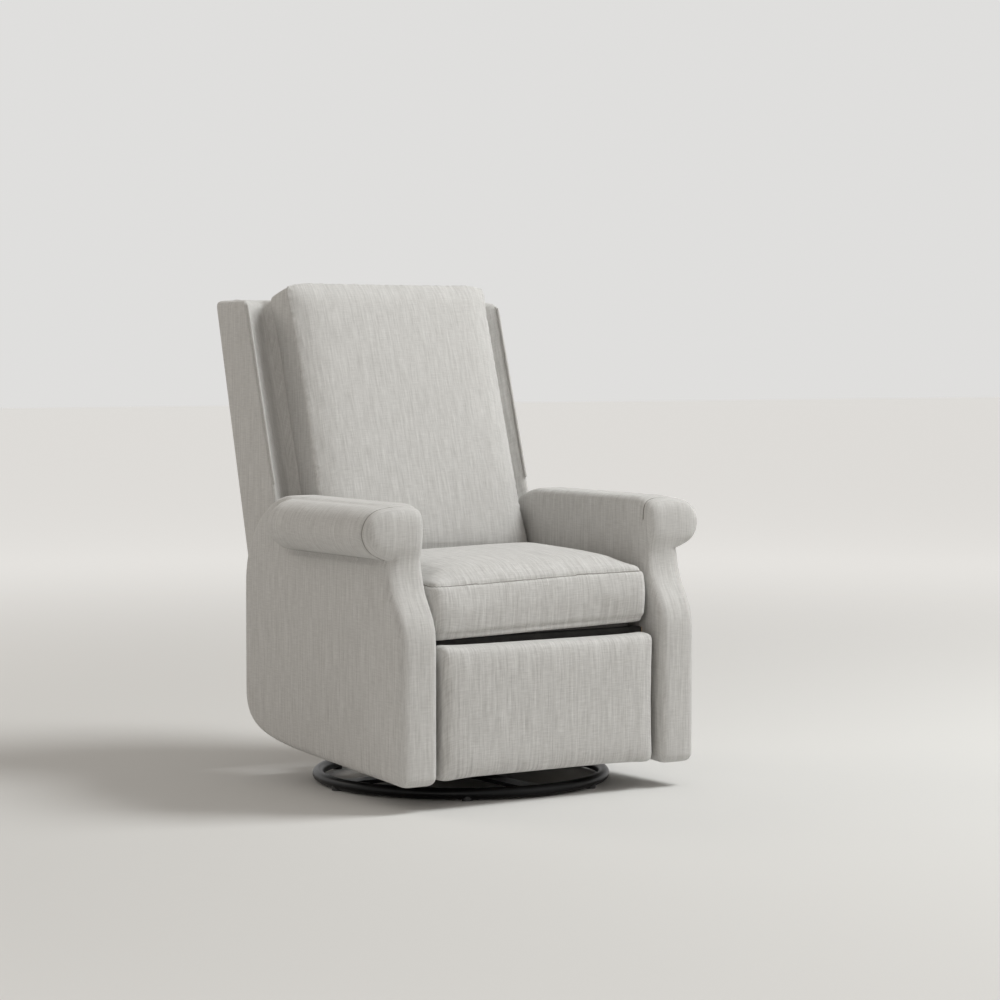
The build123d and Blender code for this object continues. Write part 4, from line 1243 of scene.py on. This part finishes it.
@dataclass
class Studio:
    """Plain pale floor, soft light and the camera at the photograph's angle."""

    camera_at: Point3 = (-3.244, -5.111, 0.919)
    target: Point3 = (0.0, -0.155, 0.612)
    focal_pixels: float = 2803.6
    frame_pixels: float = 1000.0
    sensor: float = 36.0
    floor_half: float = 40.0
    floor_glow: float = 0.46
    glow_starts: float = 0.9
    glow_full: float = 7.0

    def build(self) -> None:
        """Set up camera, lamps, world and floor."""
        self.place_camera()
        for lamp in LAMPS:
            self.light(lamp)
        self.set_world()
        self.lay_floor()
        bpy.context.scene.view_settings.view_transform = "Standard"

    def aim(self, name: str, data: bpy.types.ID, at: Point3) -> Object:
        """Add a camera or lamp that looks at the chair."""
        obj = new_object(name, data)
        obj.location = at
        look = Vector(self.target) - Vector(at)
        obj.rotation_euler = look.to_track_quat("-Z", "Y").to_euler()
        return obj

    def place_camera(self) -> None:
        """Create the camera from the fitted place and focal length."""
        data = bpy.data.cameras.new("camera")
        lens = self.focal_pixels / self.frame_pixels * self.sensor
        configure(data, sensor_fit="HORIZONTAL", sensor_width=self.sensor, lens=lens)
        bpy.context.scene.camera = self.aim("camera", data, self.camera_at)

    def light(self, lamp: Lamp) -> None:
        """Add one lamp aimed at the chair."""
        data = bpy.data.lights.new(lamp.name, "AREA")
        configure(data, energy=lamp.watts, size=lamp.size, color=lamp.colour)
        self.aim(lamp.name, data, lamp.at)

    def set_world(self) -> None:
        """A soft warm world that the camera sees as near white."""
        world = bpy.data.worlds.new("studio")
        bpy.context.scene.world = world
        world.use_nodes = True
        wires = Wiring(world.node_tree)
        soft = world.node_tree.nodes["Background"]
        wires.feed(soft, {"Color": (1.0, 0.958, 0.905, 1.0), "Strength": 0.375})
        shown = wires.add("ShaderNodeBackground", {"Color": (0.74, 0.735, 0.725, 1.0)})
        inputs = {0: self.seen(wires), 1: soft.outputs[0], 2: shown.outputs[0]}
        mix = wires.add("ShaderNodeMixShader", inputs)
        wires.feed(world.node_tree.nodes["World Output"], {0: mix.outputs[0]})

    def seen(self, wires: Wiring) -> Socket:
        """A socket that is one for camera, glossy and transmission rays."""
        rays = wires.add("ShaderNodeLightPath").outputs
        shiny = wires.math("MAXIMUM", rays["Is Glossy Ray"], rays["Is Transmission Ray"])
        return wires.math("MAXIMUM", rays["Is Camera Ray"], shiny)

    def lay_floor(self) -> None:
        """A wide pale floor that keeps the chair's shadow and stays pale to the horizon."""
        shape = bmesh.new()
        h = self.floor_half
        corners = ((-h, -h, 0), (h, -h, 0), (h, h, 0), (-h, h, 0))
        shape.faces.new([shape.verts.new(p) for p in corners])
        floor = from_bmesh("floor", shape)
        mat, wires, bsdf = empty_material("pale_floor")
        coords = wires.add("ShaderNodeTexCoord")
        inputs = {0: coords.outputs["Object"]}
        away = wires.add("ShaderNodeVectorMath", inputs, operation="LENGTH")
        far = wires.add("ShaderNodeMapRange", {
            "From Min": self.glow_starts,
            "From Max": self.glow_full,
            "To Max": self.floor_glow,
            "Value": away.outputs["Value"],
        }, interpolation_type="SMOOTHSTEP")
        wires.feed(bsdf, {
            "Base Color": (0.66, 0.655, 0.64, 1.0),
            "Roughness": 0.95,
            "Specular IOR Level": 0.1,
            "Emission Color": (1.0, 0.99, 0.97, 1.0),
            "Emission Strength": wires.math("MULTIPLY", self.seen(wires), far.outputs["Result"]),
        })
        floor.data.materials.append(mat)


def dress_rigid_nodes() -> None:
    """Give every CAD node that stays in view the finish of its slot."""
    made = {slot: finish.material() for slot, finish in RIGID_FINISHES.items()}
    for entry in frame["record"]["subparts"]:
        material = made.get(entry["material_slot"])
        node = frame["nodes"].get(entry["node"])
        if material is None or node is None:
            continue
        node.data.materials.clear()
        node.data.materials.append(material)


def main() -> None:
    """Build the chair's looks piece by piece, then the studio."""
    logging.basicConfig(level=logging.INFO, format="%(message)s")
    fabric = UpholsteryFabric()
    plain = fabric.material("cloth_across_x", Weave.ACROSS_X)
    wrapped = fabric.material("cloth_wrapped", Weave.WRAPPED)
    boxed_cloth = fabric.material("cloth_boxed", Weave.BOXED)
    sewn = SEAM_THREAD.material()
    shade_and_lining = SHADE_AND_LINING_CLOTH.material()
    dress_rigid_nodes()
    for side in Side:
        Arm(side).build(wrapped, sewn)
        Wing(side).build(wrapped)
    SeatCushion().build(plain, sewn)
    BackCushion().build(boxed_cloth)
    OuterBack().build(plain)
    # The sleeve's near-black cloth is painted shade under the seat cushion.
    RailCover().build(shade_and_lining)
    FrameLining().build(shade_and_lining)
    LegRest().build(plain)
    Studio().build()


if __name__ == "__main__":
    main()
